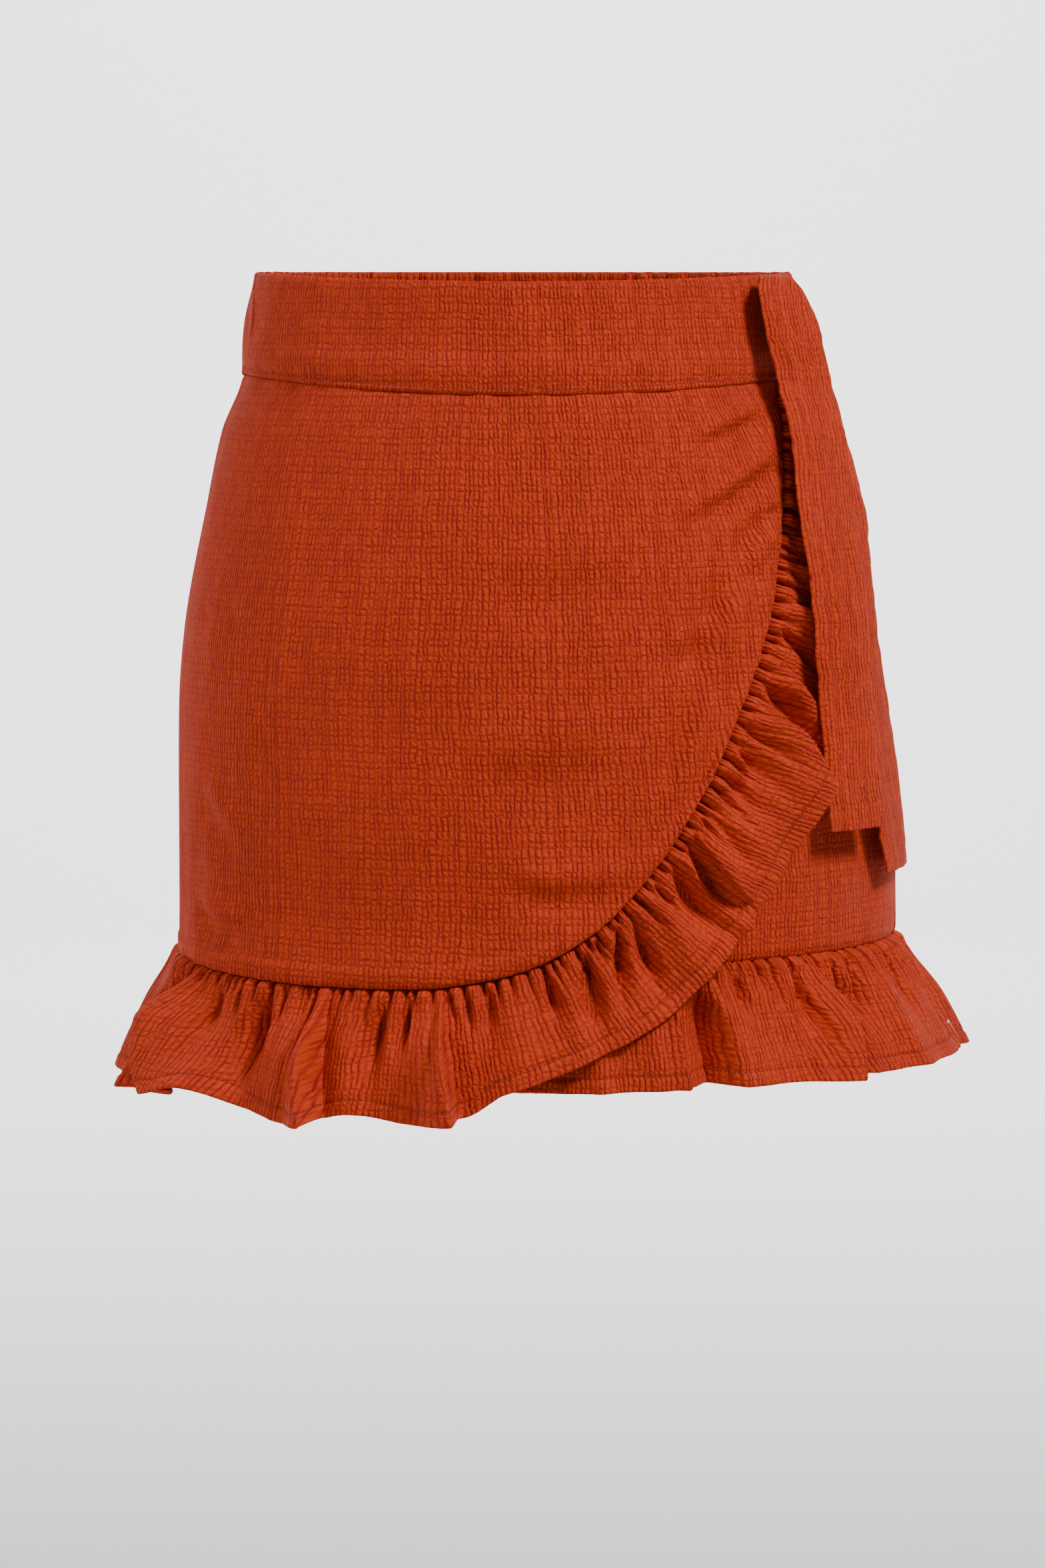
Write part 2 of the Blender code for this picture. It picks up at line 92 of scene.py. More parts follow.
# Soft creases, each a drop from one side of a line to the other: angle and depth of the line's two
# ends with its middle between them, half width, and drop, below or right of the line where above 0.
# Angles are in degrees and the rest in millimetres.
WRAP_CREASES = (
    (53, 54.5, 42, 61.2, 30, 69, 3.1, 1.9),
    (53, 71.5, 41, 85, 23, 104, 4.1, 2.4),
    (52, 92.5, 48, 94.8, 44, 96.5, 1.9, 0.9),
    (49, 100, 41, 109, 37.5, 124, 3.6, -2.3),
    (39.5, 118, 31.5, 142, 27.5, 170, 4.8, -2.8),
    (28.5, 160, 24.5, 190, 18, 220, 3.8, -2.3),
    (33, 144, 27, 150, 19, 154, 5.2, 1.4),
    (18, 240, 5, 249, -7, 242, 6, 2.1),
    (14, 184, 2, 196, -12, 201, 10.3, 1.8),
    (20, 112, 5, 123, -10, 125, 10.3, 1.4),
    (-50, 270, -60, 270, -68, 260, 5.2, 2.3),
    (-52, 235, -60, 225, -66, 210, 6.9, 1.4),
    (-16.5, 85, -18, 125, -18.5, 165, 2.4, 0.3),
    (-21, 110, -23, 150, -23.5, 190, 2.6, 0.3),
    (-11, 185, -13.5, 215, -15, 245, 2.8, 0.3),
    (-29, 120, -31, 165, -31, 210, 3.4, 0.3),
    (-38, 90, -41, 140, -40, 190, 3.8, 0.4),
    (-46, 120, -49, 170, -48, 230, 4.2, 0.4),
    (-4, 70, -5, 110, -4, 150, 4, 0.3),
)


def curve(rows):
    """Reads a table by its first column, on a smooth curve through its rows."""
    rows = np.array(rows, float)
    places, values = rows[:, 0], rows[:, 1:]
    steps = np.diff(places)[:, None]
    slopes = np.diff(values, axis=0) / steps
    turning = slopes[:-1] * slopes[1:] <= 0
    total = np.where(turning, 1.0, slopes[:-1] + slopes[1:])
    bends = np.zeros_like(values)
    bends[1:-1] = np.where(turning, 0.0, 2 * slopes[:-1] * slopes[1:] / total)
    bends[0], bends[-1] = slopes[0], slopes[-1]

    def read(place):
        place = np.clip(place, places[0], places[-1])
        k = np.clip(np.searchsorted(places, place, side="right") - 1, 0, len(places) - 2)
        t = ((place - places[k]) / (places[k + 1] - places[k]))[..., None]
        value = (2 * t**3 - 3 * t**2 + 1) * values[k] + (3 * t**2 - 2 * t**3) * values[k + 1]
        leave = (t**3 - 2 * t**2 + t) * bends[k] + (t**3 - t**2) * bends[k + 1]
        return np.moveaxis(value + leave * steps[k], -1, 0)

    return read


def mix(a, b, t):
    return a + (b - a) * t


def ease(t):
    """A smooth step from 0 to 1."""
    t = np.clip(t, 0.0, 1.0)
    return t * t * (3 - 2 * t)


def noise(x, y, seed):
    """Smooth random waves between -1 and 1, about one to a unit."""
    table = np.random.RandomState(seed).uniform(-1, 1, (128, 128))
    i, j = np.floor(x).astype(int), np.floor(y).astype(int)
    s, t = ease(x - i), ease(y - j)
    upper = mix(table[i % 128, j % 128], table[(i + 1) % 128, j % 128], s)
    lower = mix(table[i % 128, (j + 1) % 128], table[(i + 1) % 128, (j + 1) % 128], s)
    return mix(upper, lower, t)


read_form = curve(np.array(FORM) / 1000)


def on_form(angle, depth, out=0.0):
    """Points of the worn form, moved out."""
    angle, depth, out = np.broadcast_arrays(angle, depth, out)
    half_width, half_depth, sway = read_form(depth)
    turn = np.radians(angle)
    x = sway + (half_width + out) * np.sin(turn)
    return np.stack([x, -(half_depth + out) * np.cos(turn), -depth], -1)


def metres_per_degree(angle, depth):
    return np.linalg.norm(on_form(angle + 0.5, depth) - on_form(angle - 0.5, depth), axis=-1)


def band_top(angle):
    return FRONT_DIP * np.maximum(0.0, np.cos(np.radians(angle))) ** 2


def band_bottom(angle):
    return BAND_HEIGHT + (FRONT_DIP + FRONT_EXTRA) * np.maximum(0.0, np.cos(np.radians(angle))) ** 2


def seam_line(depth_at, start, end):
    """Reads a seam's angle and depth by the length along it, and gives its whole length."""
    angles = np.linspace(start, end, 900)
    depths = depth_at(angles)
    steps = np.linalg.norm(np.diff(on_form(angles, depths), axis=0), axis=1)
    lengths = np.concatenate([[0.0], np.cumsum(steps)])

    def at(along):
        return np.interp(along, lengths, angles), np.interp(along, lengths, depths)

    return at, lengths[-1]


def lengths_down(points):
    """How far each point of a grid lies down its column, and across its row, from the first."""
    down = np.linalg.norm(np.diff(points, axis=0), axis=-1)
    across = np.linalg.norm(np.diff(points, axis=1), axis=-1)
    return (
        np.pad(np.cumsum(down, axis=0), ((1, 0), (0, 0))),
        np.pad(np.cumsum(across, axis=1), ((0, 0), (1, 0))),
    )


def normals(points):
    """Outward unit normals of a grid whose rows go down and whose columns go across."""
    side = np.cross(np.gradient(points, axis=0), np.gradient(points, axis=1))
    return side / np.maximum(np.linalg.norm(side, axis=-1, keepdims=True), 1e-12)


def smooth_object(name, vertices, faces, finish):
    mesh = bpy.data.meshes.new(name)
    mesh.from_pydata(vertices, [], faces)
    mesh.shade_smooth()
    mesh.materials.append(finish)
    made = bpy.data.objects.new(name, mesh)
    bpy.context.scene.collection.objects.link(made)
    return made


def sheet_mesh(name, points, weave, wall, finish):
    """A closed sheet of cloth from a grid of its outer face, with rounded edges.

    weave is the place of each point in the flat cloth, which the finish reads, and wall the
    thickness, one number or one for each point.
    """
    rows, columns = points.shape[:2]
    wall = np.broadcast_to(wall, (rows, columns))[..., None]
    out = normals(points)
    inner = points - out * wall
    index = np.arange(rows * columns).reshape(rows, columns)
    rim = np.concatenate([index[0, :-1], index[:-1, -1], index[-1, :0:-1], index[:0:-1, 0]])
    edge = np.zeros_like(points)
    edge[0] += points[0] - points[1]
    edge[-1] += points[-1] - points[-2]
    edge[:, 0] += points[:, 0] - points[:, 1]
    edge[:, -1] += points[:, -1] - points[:, -2]
    flat = [grid.reshape(-1, 3) for grid in (points, inner, out, edge)]
    thick = wall.reshape(-1, 1)[rim] / 2
    away = flat[3][rim]
    away /= np.maximum(np.linalg.norm(away, axis=1, keepdims=True), 1e-12)
    middle = (flat[0][rim] + flat[1][rim]) / 2
    rounds = [
        middle + thick * (flat[2][rim] * math.cos(a) + away * math.sin(a))
        for a in (math.pi / 4, math.pi / 2, 3 * math.pi / 4)
    ]
    vertices = np.concatenate([flat[0], flat[1], *rounds])
    places = weave.reshape(-1, 2)
    places = np.concatenate([places, places] + [places[rim]] * 3)
    a, b, c, d = index[:-1, :-1], index[1:, :-1], index[1:, 1:], index[:-1, 1:]
    front = np.stack([a, b, c, d], -1).reshape(-1, 4)
    back = front[:, ::-1] + rows * columns
    count = len(rim)
    base = 2 * rows * columns
    loops = [rim] + [base + k * count + np.arange(count) for k in range(3)] + [rim + rows * columns]
    sides = [
        np.stack([upper, np.roll(upper, -1), np.roll(lower, -1), lower], -1)
        for upper, lower in zip(loops, loops[1:])
    ]
    faces = np.concatenate([front, back, *sides])
    piece = smooth_object(name, vertices.tolist(), faces.tolist(), finish)
    corners = np.empty(len(piece.data.loops), int)
    piece.data.loops.foreach_get("vertex_index", corners)
    piece.data.uv_layers.new(name="weave").data.foreach_set("uv", places[corners].ravel())
    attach(piece, "root")
    return piece


# The crepe's nodes: helpers that add a node and return what it gives
def add(tree, kind, inputs=(), **settings):
    node = tree.nodes.new(kind)
    for name, value in settings.items():
        setattr(node, name, value)
    for socket, value in dict(inputs).items():
        if isinstance(value, bpy.types.NodeSocket):
            tree.links.new(value, node.inputs[socket])
        else:
            node.inputs[socket].default_value = value
    return node


def smooth(tree, value, low, high, to_low=0.0, to_high=1.0):
    """A smooth step between two values of its input."""
    node = add(
        tree,
        "ShaderNodeMapRange",
        {"Value": value, "From Min": low, "From Max": high, "To Min": to_low, "To Max": to_high},
        interpolation_type="SMOOTHSTEP",
    )
    return node.outputs[0]


def blend(tree, share, first, second):
    """A colour between two others, each a socket or red, green and blue."""
    first, second = (
        colour if isinstance(colour, bpy.types.NodeSocket) else (*colour, 1.0)
        for colour in (first, second)
    )
    inputs = {"Factor": share, "A": first, "B": second}
    return add(tree, "ShaderNodeMix", inputs, data_type="RGBA").outputs["Result"]


def new_finish(name, rough):
    """A material with a Principled BSDF, with its nodes and that shader's inputs."""
    finish = bpy.data.materials.new(name)
    finish.use_nodes = True
    inputs = finish.node_tree.nodes["Principled BSDF"].inputs
    inputs["Roughness"].default_value = rough
    return finish, finish.node_tree, inputs


def node_group(name, inputs, outputs):
    """An empty group with named sockets, and the nodes that its inputs and outputs are."""
    group = bpy.data.node_groups.new(name, "ShaderNodeTree")
    for direction, sockets in (("INPUT", inputs), ("OUTPUT", outputs)):
        for socket, kind in sockets:
            group.interface.new_socket(socket, in_out=direction, socket_type=kind)
    return group, group.nodes.new("NodeGroupInput").outputs, group.nodes.new("NodeGroupOutput")


# Crinkle: blisters between wavy valleys that run down the cloth, and fainter level creases in
# pairs, 4.0 and 2.4 mm apart. Place and the sizes here are in millimetres.
VALLEY_PITCH = 1.9
PAIR_PITCH = 6.4
PAIR_SHARE = 0.62  # of that pitch, from a pair's first crease to its second

FLOAT, VECTOR = "NodeSocketFloat", "NodeSocketVector"
crinkle, given, result = node_group(
    "crinkle",
    [("Place", VECTOR), ("Level", FLOAT)],
    [("Height", FLOAT), ("Valley Shade", FLOAT), ("Tone", FLOAT)],
)
place = add(crinkle, "ShaderNodeSeparateXYZ", {0: given["Place"]}).outputs


def calc(operation, *values):
    return add(crinkle, "ShaderNodeMath", enumerate(values), operation=operation).outputs[0]


def scaled_by(tree, place, sizes):
    return add(tree, "ShaderNodeVectorMath", {0: place, 1: sizes}, operation="MULTIPLY").outputs[0]


def waves(size_x, size_y, seed, detail=0.0):
    """Smooth random waves around 0, with their sizes across and down."""
    scaled = scaled_by(crinkle, given["Place"], (1 / size_x, 1 / size_y, 1.0))
    moved = add(
        crinkle, "ShaderNodeVectorMath", {0: scaled, 1: (seed, seed * 2.3, seed)}, operation="ADD"
    )
    texture = {"Vector": moved.outputs[0], "Scale": 1.0, "Detail": detail}
    return calc("SUBTRACT", add(crinkle, "ShaderNodeTexNoise", texture).outputs["Fac"], 0.5)


def drawn(by, dimensions="1D"):
    """A random share for each whole value of its input."""
    return add(crinkle, "ShaderNodeTexWhiteNoise", by, noise_dimensions=dimensions).outputs[0]


# Valleys down the cloth: long, a little wavy, now close together and now apart
wander = calc("MULTIPLY_ADD", waves(17, 40, 7), 1.3, calc("MULTIPLY", waves(3.2, 6, 11), 0.62))
across = calc("ADD", calc("DIVIDE", place["X"], VALLEY_PITCH), wander)


def cell_of(across, feature):
    """The random cells, each between two valleys."""
    return add(
        crinkle,
        "ShaderNodeTexVoronoi",
        {"W": across, "Scale": 1.0, "Randomness": 0.75},
        voronoi_dimensions="1D",
        feature=feature,
    ).outputs


column = drawn({"W": cell_of(across, "F1")["W"]})

# Level creases: in pairs, a little higher or lower in each column, and deep or faint in each cell
level = calc("MULTIPLY_ADD", waves(22, 30, 3), 0.28, calc("DIVIDE", place["Y"], PAIR_PITCH))
level = calc("MULTIPLY_ADD", waves(2.4, 9, 5), 0.09, level)
level = calc("MULTIPLY_ADD", column, 0.10, level)
near_first = calc("PINGPONG", level, 0.5)
near_second = calc("PINGPONG", calc("SUBTRACT", level, PAIR_SHARE), 0.5)
level_away = calc("MULTIPLY", calc("MINIMUM", near_first, near_second), PAIR_PITCH)
below = calc("GREATER_THAN", calc("FRACT", level), PAIR_SHARE)
row = calc("MULTIPLY_ADD", calc("FLOOR", level), 2.0, below)

# The valleys jog at each level crease
across = calc("MULTIPLY_ADD", drawn({"W": row}), 0.20, across)
lines, cells = cell_of(across, "DISTANCE_TO_EDGE"), cell_of(across, "F1")
cell = add(crinkle, "ShaderNodeCombineXYZ", {"X": cells["W"], "Y": row}).outputs[0]
lot = drawn({"Vector": cell}, "3D")
line_away = calc("MULTIPLY", lines["Distance"], VALLEY_PITCH)
fading = smooth(crinkle, waves(2.6, 9, 17), -0.20, 0.14, 0.35, 1.0)
line_depth = calc("MULTIPLY", smooth(crinkle, line_away, 0.34, 0.0), fading)
level_depth = smooth(crinkle, level_away, 0.32, 0.0)
for strength in (
    smooth(crinkle, lot, 0.25, 0.95, 0.0, 0.85),
    smooth(crinkle, waves(13, 8, 61), -0.14, 0.10, 0.35, 1.0),
    given["Level"],
):
    level_depth = calc("MULTIPLY", level_depth, strength)
valley = calc("MAXIMUM", line_depth, level_depth)

# Blisters: crowned between the valleys, crumpled, and finely grained
level_crown = smooth(crinkle, level_away, 0.0, 1.1, calc("SUBTRACT", 1.0, given["Level"]), 1.0)
crown = calc("MULTIPLY", smooth(crinkle, line_away, 0.0, 1.0), level_crown)
fine = waves(0.42, 0.55, 31, detail=1.0)
height = calc("MULTIPLY_ADD", crown, 0.25, calc("MULTIPLY", valley, -0.16))
height = calc("MULTIPLY_ADD", waves(1.1, 1.5, 41), 0.44, height)
height = calc("MULTIPLY_ADD", fine, 0.18, height)
# Low places of the relief also take the deeper red: painted shade in the hollows.
low = smooth(crinkle, height, 0.26, -0.12, 0.0, 0.50)
tone = calc("MULTIPLY_ADD", waves(26, 40, 51, detail=2.0), 0.9, calc("MULTIPLY", lot, 0.30))
tone = calc("MULTIPLY_ADD", fine, 0.5, tone)
crinkle.links.new(height, result.inputs["Height"])
# This output masks painted shade: valleys and low places are coloured deeper red in place of their
# shade and red interreflection.
crinkle.links.new(calc("MAXIMUM", valley, low), result.inputs["Valley Shade"])
crinkle.links.new(tone, result.inputs["Tone"])


RUST = (0.56, 0.0490, 0.0118)
# Painted shade: the deeper red that the valleys and hollows take in place of their shade.
RUST_VALLEY_SHADE = (0.25, 0.0068, 0.0145)


def cloth_finish(name, level=0.9, relief=1.3):
    """Crinkle crepe: one dye, with painted shade that deepens it in the valleys and hollows, matt
    with a soft bloom at a glancing angle.
    """
    finish, tree, shader = new_finish(name, 0.72)
    flat = add(tree, "ShaderNodeUVMap", uv_map="weave").outputs[0]
    millimetres = scaled_by(tree, flat, (1000.0, 1000.0, 1.0))
    pattern = add(tree, "ShaderNodeGroup", node_tree=crinkle)
    pattern.inputs["Level"].default_value = level
    tree.links.new(millimetres, pattern.inputs["Place"])
    share = smooth(tree, pattern.outputs["Tone"], -0.35, 0.6)
    shades = blend(tree, share, [c * 0.86 for c in RUST], [c * 1.1 for c in RUST])
    # Painted shade: the valleys and hollows are coloured the deeper red.
    colours = blend(tree, pattern.outputs["Valley Shade"], shades, RUST_VALLEY_SHADE)
    relief_of = {"Height": pattern.outputs["Height"], "Strength": relief, "Distance": 0.001}
    tree.links.new(colours, shader["Base Color"])
    tree.links.new(add(tree, "ShaderNodeBump", relief_of).outputs["Normal"], shader["Normal"])
    shader["Specular IOR Level"].default_value = 0.08
    shader["Sheen Weight"].default_value = 0.05
    shader["Sheen Roughness"].default_value = 0.4
    shader["Sheen Tint"].default_value = (1.0, 0.40, 0.20, 1.0)
    return finish


crepe = cloth_finish("rust_crinkle_crepe")

wrap_at, wrap_length = seam_line(
    lambda angle: curve(WRAP_EDGE)(angle)[0], WRAP_EDGE[0][0] + WRAP_SIDE_GAP, WRAP_EDGE[-1][0]
)


def share_grid(rows, columns):
    """Shares across and down of a grid's points."""
    return np.linspace(0, 1, columns + 1)[None, :], np.linspace(0, 1, rows + 1)[:, None]


def mound(away, half_width):
    """1 at a line, and nearly 0 from twice the half width away."""
    return np.exp(-((away / half_width) ** 2))


def flat_cloth(angle, depth):
    """Where places on the form lie in the flat cloth."""
    return np.stack([angle * CLOTH_ROUND, depth * CLOTH_DOWN], -1)


def through(start, middle, end, t):
    """A curve that passes three values, at shares of 0, a half and 1."""
    return start * (1 - t) * (1 - 2 * t) + middle * 4 * t * (1 - t) + end * t * (2 * t - 1)


METRES_ROUND = 0.0024  # for each degree, as a rule over the whole form


def creased(angle, depth, creases):
    """The height of soft creases at places on the form."""
    total = np.zeros(np.broadcast(angle, depth).shape)
    t = np.linspace(0, 1, 41)
    for *ends, half_width, drop in creases:
        corners = np.reshape(ends, (3, 2)) / (1, 1000)
        half_width, drop = half_width / 1000, drop / 1000
        line = through(*corners, t[:, None]) * (METRES_ROUND, 1.0)
        ahead = np.gradient(line, axis=0)
        ahead /= np.linalg.norm(ahead, axis=1, keepdims=True)
        away = np.stack([angle * METRES_ROUND, depth], -1)[..., None, :] - line
        nearest = np.argmin(np.sum(away**2, -1), -1)
        away = np.take_along_axis(away, nearest[..., None, None], -2)[..., 0, :]
        ahead = ahead[nearest]
        side = (away[..., 0] * ahead[..., 1] - away[..., 1] * ahead[..., 0]) / half_width
        beyond = (away[..., 0] * ahead[..., 0] + away[..., 1] * ahead[..., 1]) / half_width
        tapered = ease(np.minimum(t, 1 - t) / 0.35)[nearest]
        total -= drop * tapered * side * np.exp(0.5 - 0.5 * side**2 - 0.5 * beyond**2)
    return total


def wrap_panel():
    """Between the waist seam, the side seam, the hem and the curved edge that it turns into."""
    u, v = share_grid(170, 200)
    turn = wrap_length * WRAP_CORNER
    start, end = wrap_at(0.0)[0], wrap_at(wrap_length)[0]

    def top(share):
        angle = mix(start, end, share)
        return np.stack(np.broadcast_arrays(angle, band_bottom(angle) + SEAM_GAP), -1)

    def hem(share):
        return np.stack(wrap_at(turn * share), -1)

    def side(share):
        return np.stack(wrap_at(mix(wrap_length, turn, share)), -1)

    first, last = top(np.zeros((1, 1))), hem(np.zeros((1, 1)))
    left = mix(first, last, v[..., None])
    corners = (
        first * ((1 - u) * (1 - v))[..., None]
        + side(np.zeros((1, 1))) * (u * (1 - v))[..., None]
        + last * ((1 - u) * v)[..., None]
        + hem(np.ones((1, 1))) * (u * v)[..., None]
    )
    place = mix(top(u), hem(u), v[..., None]) + mix(left, side(v), u[..., None]) - corners
    angle, depth = place[..., 0], place[..., 1]
    points = on_form(angle, depth)
    down, across = lengths_down(points)
    to_hem, to_side = down[-1:] - down, across[:, -1:] - across
    along = np.where(to_hem < to_side, turn * u, mix(wrap_length, turn, v))
    to_edge = np.minimum(to_hem, to_side)
    pucker = 0.0006 * noise(along / 0.0042, to_edge / 0.012, 5) * np.exp(-to_edge / 0.007)
    curved = ease((along - 0.200) / 0.060) * ease((wrap_length - along) / 0.050)
    allowance = ease((0.009 - to_edge) / 0.003)  # doubled cloth along the seam
    roll = 0.0016 * mound(to_edge - 0.0095, 0.0058) * curved
    flare = 0.0020 * ease((0.026 - to_hem) / 0.026) * (1 - curved) * ease(along / 0.035)
    roll = roll + flare + 0.0008 * allowance
    roll = roll - 0.0005 * ease((0.0012 - to_edge) / 0.0012)
    band = -0.0013 * (1 - ease(down / 0.0022))
    band = band + 0.0004 * noise(across / 0.006, down / 0.02, 8) * np.exp(-down / 0.01)
    soft = 0.00035 * noise(angle / 4.0, depth / 0.05, 12) + creased(angle, depth, WRAP_CREASES)
    points = on_form(angle, depth, pucker + roll + band + soft * ease(to_edge / 0.006))
    wall = CREPE * (1 + 1.1 * allowance)
    return sheet_mesh("wrap_panel_cloth", points, flat_cloth(angle, depth), wall, crepe)


piece = wrap_panel()
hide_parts("wrap_panel")

# ------------------------------------------------
# Wrap ruffle
# One strip of the same crepe, cut straight, gathered to two thirds of its length and sewn on under
# the panel's edge. Its free edge has a 6 mm hem, turned twice and stitched.

WRAP_RUFFLE = (  # in millimetres: along, cut depth, how far the hem stands out
    (0, 63, 25),
    (35, 57.5, 23),
    (52, 54.5, 21.5),
    (66, 48.5, 20.5),
    (85, 53.5, 20.5),
    (107, 56.2, 20.5),
    (128, 52, 20),
    (150, 54.5, 19.5),
    (162, 54, 19),
    (176, 47, 16.5),
    (204, 43, 11),
    (238, 43.5, 8.5),
    (270, 43, 8.5),
    (312, 41.5, 7),
    (326, 40.5, 3.6),
    (390, 42, 1.4),
    (480, 34, 1.2),
)
# Folds and valleys, in millimetres: along at the seam, half way and at the hem, width to the left
# and to the right, height, and lean along the seam. The last three numbers are shares down the
# ruffle, where it starts, is highest and ends.
WRAP_FOLDS = (
    (6, 8, 8, 10, 8, 3.5, 0, 0.03, 0.5, 3.0),
    (16, 16, 18, 4, 4, 1.4, 0, 0.02, 0.25, 0.8),
    (26, 22, 26, 18, 12, -8.5, 0, 0.02, 0.4, 3.0),
    (36, 36, 52, 4, 34, 12, -7.5, 0.01, 0.45, 3.0),
    (56, 56.5, 60, 6, 7, -4, 0, 0.01, 0.3, 0.9),
    (67.5, 69, 70, 4, 4, -3, 0, 0.01, 0.12, 0.4),
    (83, 81, 78, 13, 7, -8.5, 0, 0.01, 0.4, 1.05),
    (88, 89, 90, 3, 4, -3, 0, 0.01, 0.12, 0.4),
    (104, 104.5, 104, 5, 4, -3.5, 0, 0.01, 0.3, 1.2),
    (108.5, 110, 114.5, 11, 3, 9.5, 2.2, 0.01, 0.4, 3.0),
    (108.5, 110, 114.5, 34, 3, 7.8, 1, 0.05, 0.55, 3.0),
    (120, 121, 126, 12, 12, 3, 0, 0.03, 0.4, 1.6),
    (134.5, 132, 129, 8, 6, -6, 0, 0.01, 0.35, 0.95),
    (145, 143.5, 142, 7, 3, -5, 0, 0.01, 0.25, 0.65),
    (156, 153.5, 150, 5, 4, -3.5, 0, 0.01, 0.3, 1.2),
    (158, 157, 158.5, 13, 3, 10.5, 2.4, 0.01, 0.4, 3.0),
    (158, 157, 158.5, 24, 3, 7, 1, 0.05, 0.55, 3.0),
    (161, 162, 162, 3, 4, -2.6, 0, 0.01, 0.1, 0.4),
    (168, 167, 166, 4, 4, -3, 0, 0.01, 0.15, 0.5),
    (178, 174, 172, 8, 6, -3.2, 0, 0.01, 0.25, 0.75),
    (186, 184, 182, 10, 10, 2.2, 0, 0.03, 0.5, 1.6),
    (199.5, 196.5, 195, 3, 8, -5.2, 0, 0.01, 0.28, 0.65),
    (206, 203, 200, 8, 8, 2, 0, 0.03, 0.5, 1.6),
    (219.5, 210.5, 203, 7, 6, -8.5, 0, 0.01, 0.35, 0.9),
    (215, 212, 210, 2.5, 3, -2.2, 0, 0.01, 0.1, 0.3),
    (223, 221, 219, 3, 4, -3, 0, 0.01, 0.12, 0.4),
    (226.5, 219, 212, 7, 7, 2.2, 0, 0.03, 0.5, 1.5),
    (236, 222, 214, 6, 5, -6.2, 0, 0.01, 0.3, 1.0),
    (242.5, 233.5, 228, 6, 5, -6, 0, 0.01, 0.45, 1.0),
    (248, 244, 240, 3, 4, -2.4, 0, 0.01, 0.15, 0.5),
    (255, 247, 243, 9, 8, 2.4, 0, 0.03, 0.5, 1.5),
    (256, 252, 249, 3, 4, -2.8, 0, 0.01, 0.15, 0.5),
    (268, 260, 259.5, 8, 8, -7.8, 0, 0.01, 0.4, 1.2),
    (272.5, 267, 265, 6, 5, 3, 0, 0.03, 0.5, 1.5),
    (279, 270.5, 266.5, 8, 4, -7.5, 0, 0.01, 0.45, 1.05),
    (283.5, 276.5, 272.5, 2, 55, 7.5, -3, 0.005, 0.35, 1.08),
    (289, 283.5, 279, 3, 4, -2.4, 0, 0.01, 0.15, 0.55),
    (295, 286.5, 280, 8, 8, -3.8, 0, 0.03, 0.4, 1.0),
    (302, 297, 292, 4, 4, -2.8, 0, 0.01, 0.2, 0.7),
    (309, 304, 300, 7, 7, -3.6, 0, 0.02, 0.3, 0.8),
    (315.5, 310.5, 304, 3, 4, -2.6, 0, 0.01, 0.2, 0.6),
    (322, 315, 308, 5, 7, -3.4, 0, 0.01, 0.25, 0.9),
    (330, 324, 315, 4, 4, -3, 0, 0.01, 0.25, 0.8),
    (340, 334, 323, 30, 3, 10.5, 2.2, 0.02, 0.5, 3.0),
    (350, 344, 334, 8, 5, -5, 0, 0.02, 0.4, 1.6),
    (362, 352, 346, 16, 3, 5.5, 1.4, 0.02, 0.4, 1.3),
    (374, 368, 362, 4, 5, -3.6, 0, 0.02, 0.3, 1.0),
    (386, 381, 376, 14, 3, 4.6, 1.4, 0.02, 0.35, 1.2),
    (402, 398, 394, 9, 3, 3.4, 1, 0.02, 0.35, 1.1),
    (413, 410, 408, 8, 3, 3, 1, 0.02, 0.35, 1.1),
    (430, 428, 426, 10, 4, 2.4, 0.8, 0.02, 0.35, 1.1),
    (448, 447, 446, 9, 4, 2.2, 0.8, 0.02, 0.35, 1.1),
)
GATHER_PITCH = 0.0060
HEM_STITCH = 0.0055  # from the hem's edge up to its stitches
HEM_TURN = 0.0058  # from the hem's edge up to its inner turn
RUFFLE_ALONG = 1.05  # flat cloth that shows for each metre of seam
ROW_SPREAD = ((0.0, 0.0), (0.20, 0.085), (0.72, 0.86), (1.0, 1.0))  # rows close at seam and hem


def gathered(along, v, length, seed):
    """Puffs of cloth that leave the seam, with a deep crease between each two of them."""
    random = np.random.RandomState(seed)
    count = int(length / GATHER_PITCH)
    pitches = random.uniform(0.45, 1.55, count)
    creases = np.concatenate([[0.0], np.cumsum(pitches)]) * length / pitches.sum()
    tall = random.uniform(0.0018, 0.0040, count) * np.clip(pitches, 0.6, 1.2)
    reach = random.uniform(0.16, 0.60, count)
    deep = random.uniform(0.0012, 0.0046, count + 1)
    long = random.uniform(0.08, 0.30, count + 1)
    drift = 0.006 * noise(creases / 0.03, 0 * creases, seed + 5)
    ridges = np.zeros(np.broadcast(along, v).shape)
    for k, share in enumerate(v[:, 0]):
        places = creases + drift * share
        place = np.interp(along[k], places, np.arange(count + 1))
        at = np.minimum(place.astype(int), count - 1)
        t = place - at
        near = ease(share / 0.045) * ease((reach[at] - share) / reach[at]) * tall[at]
        ridges[k] = near * ((4 * t * (1 - t)) ** 0.7 - 0.35)
        at = np.rint(place).astype(int)
        away = (along[k] - places[at]) / (0.0009 + 0.0012 * share)
        ridges[k] -= deep[at] * ease((long[at] - share) / long[at]) * np.exp(-(away**2))
    return ridges


def folded(along, v, folds):
    """How far folds and valleys lift the cloth, and how far they slide it along the seam."""
    lift = np.zeros(np.broadcast(along, v).shape)
    slide = np.zeros_like(lift)
    for *sizes, start, peak, end in folds:
        root, half, hem, left, right, tall, lean = np.array(sizes) / 1000
        middle = through(root, half, hem, v)
        width = np.where(along < middle, left, right) * mix(0.35, 1.0, ease(v / 0.6))
        rise = ease((v - start) / (peak - start)) * ease((end - v) / (end - peak))
        near = np.clip(1 - np.abs(along - middle) / width, 0, 1)
        near = rise * (ease(near) if tall > 0 else near**1.3)
        lift += (1.3 if tall > 0 else 1.6) * tall * near
        slide += lean * near
    return lift, slide


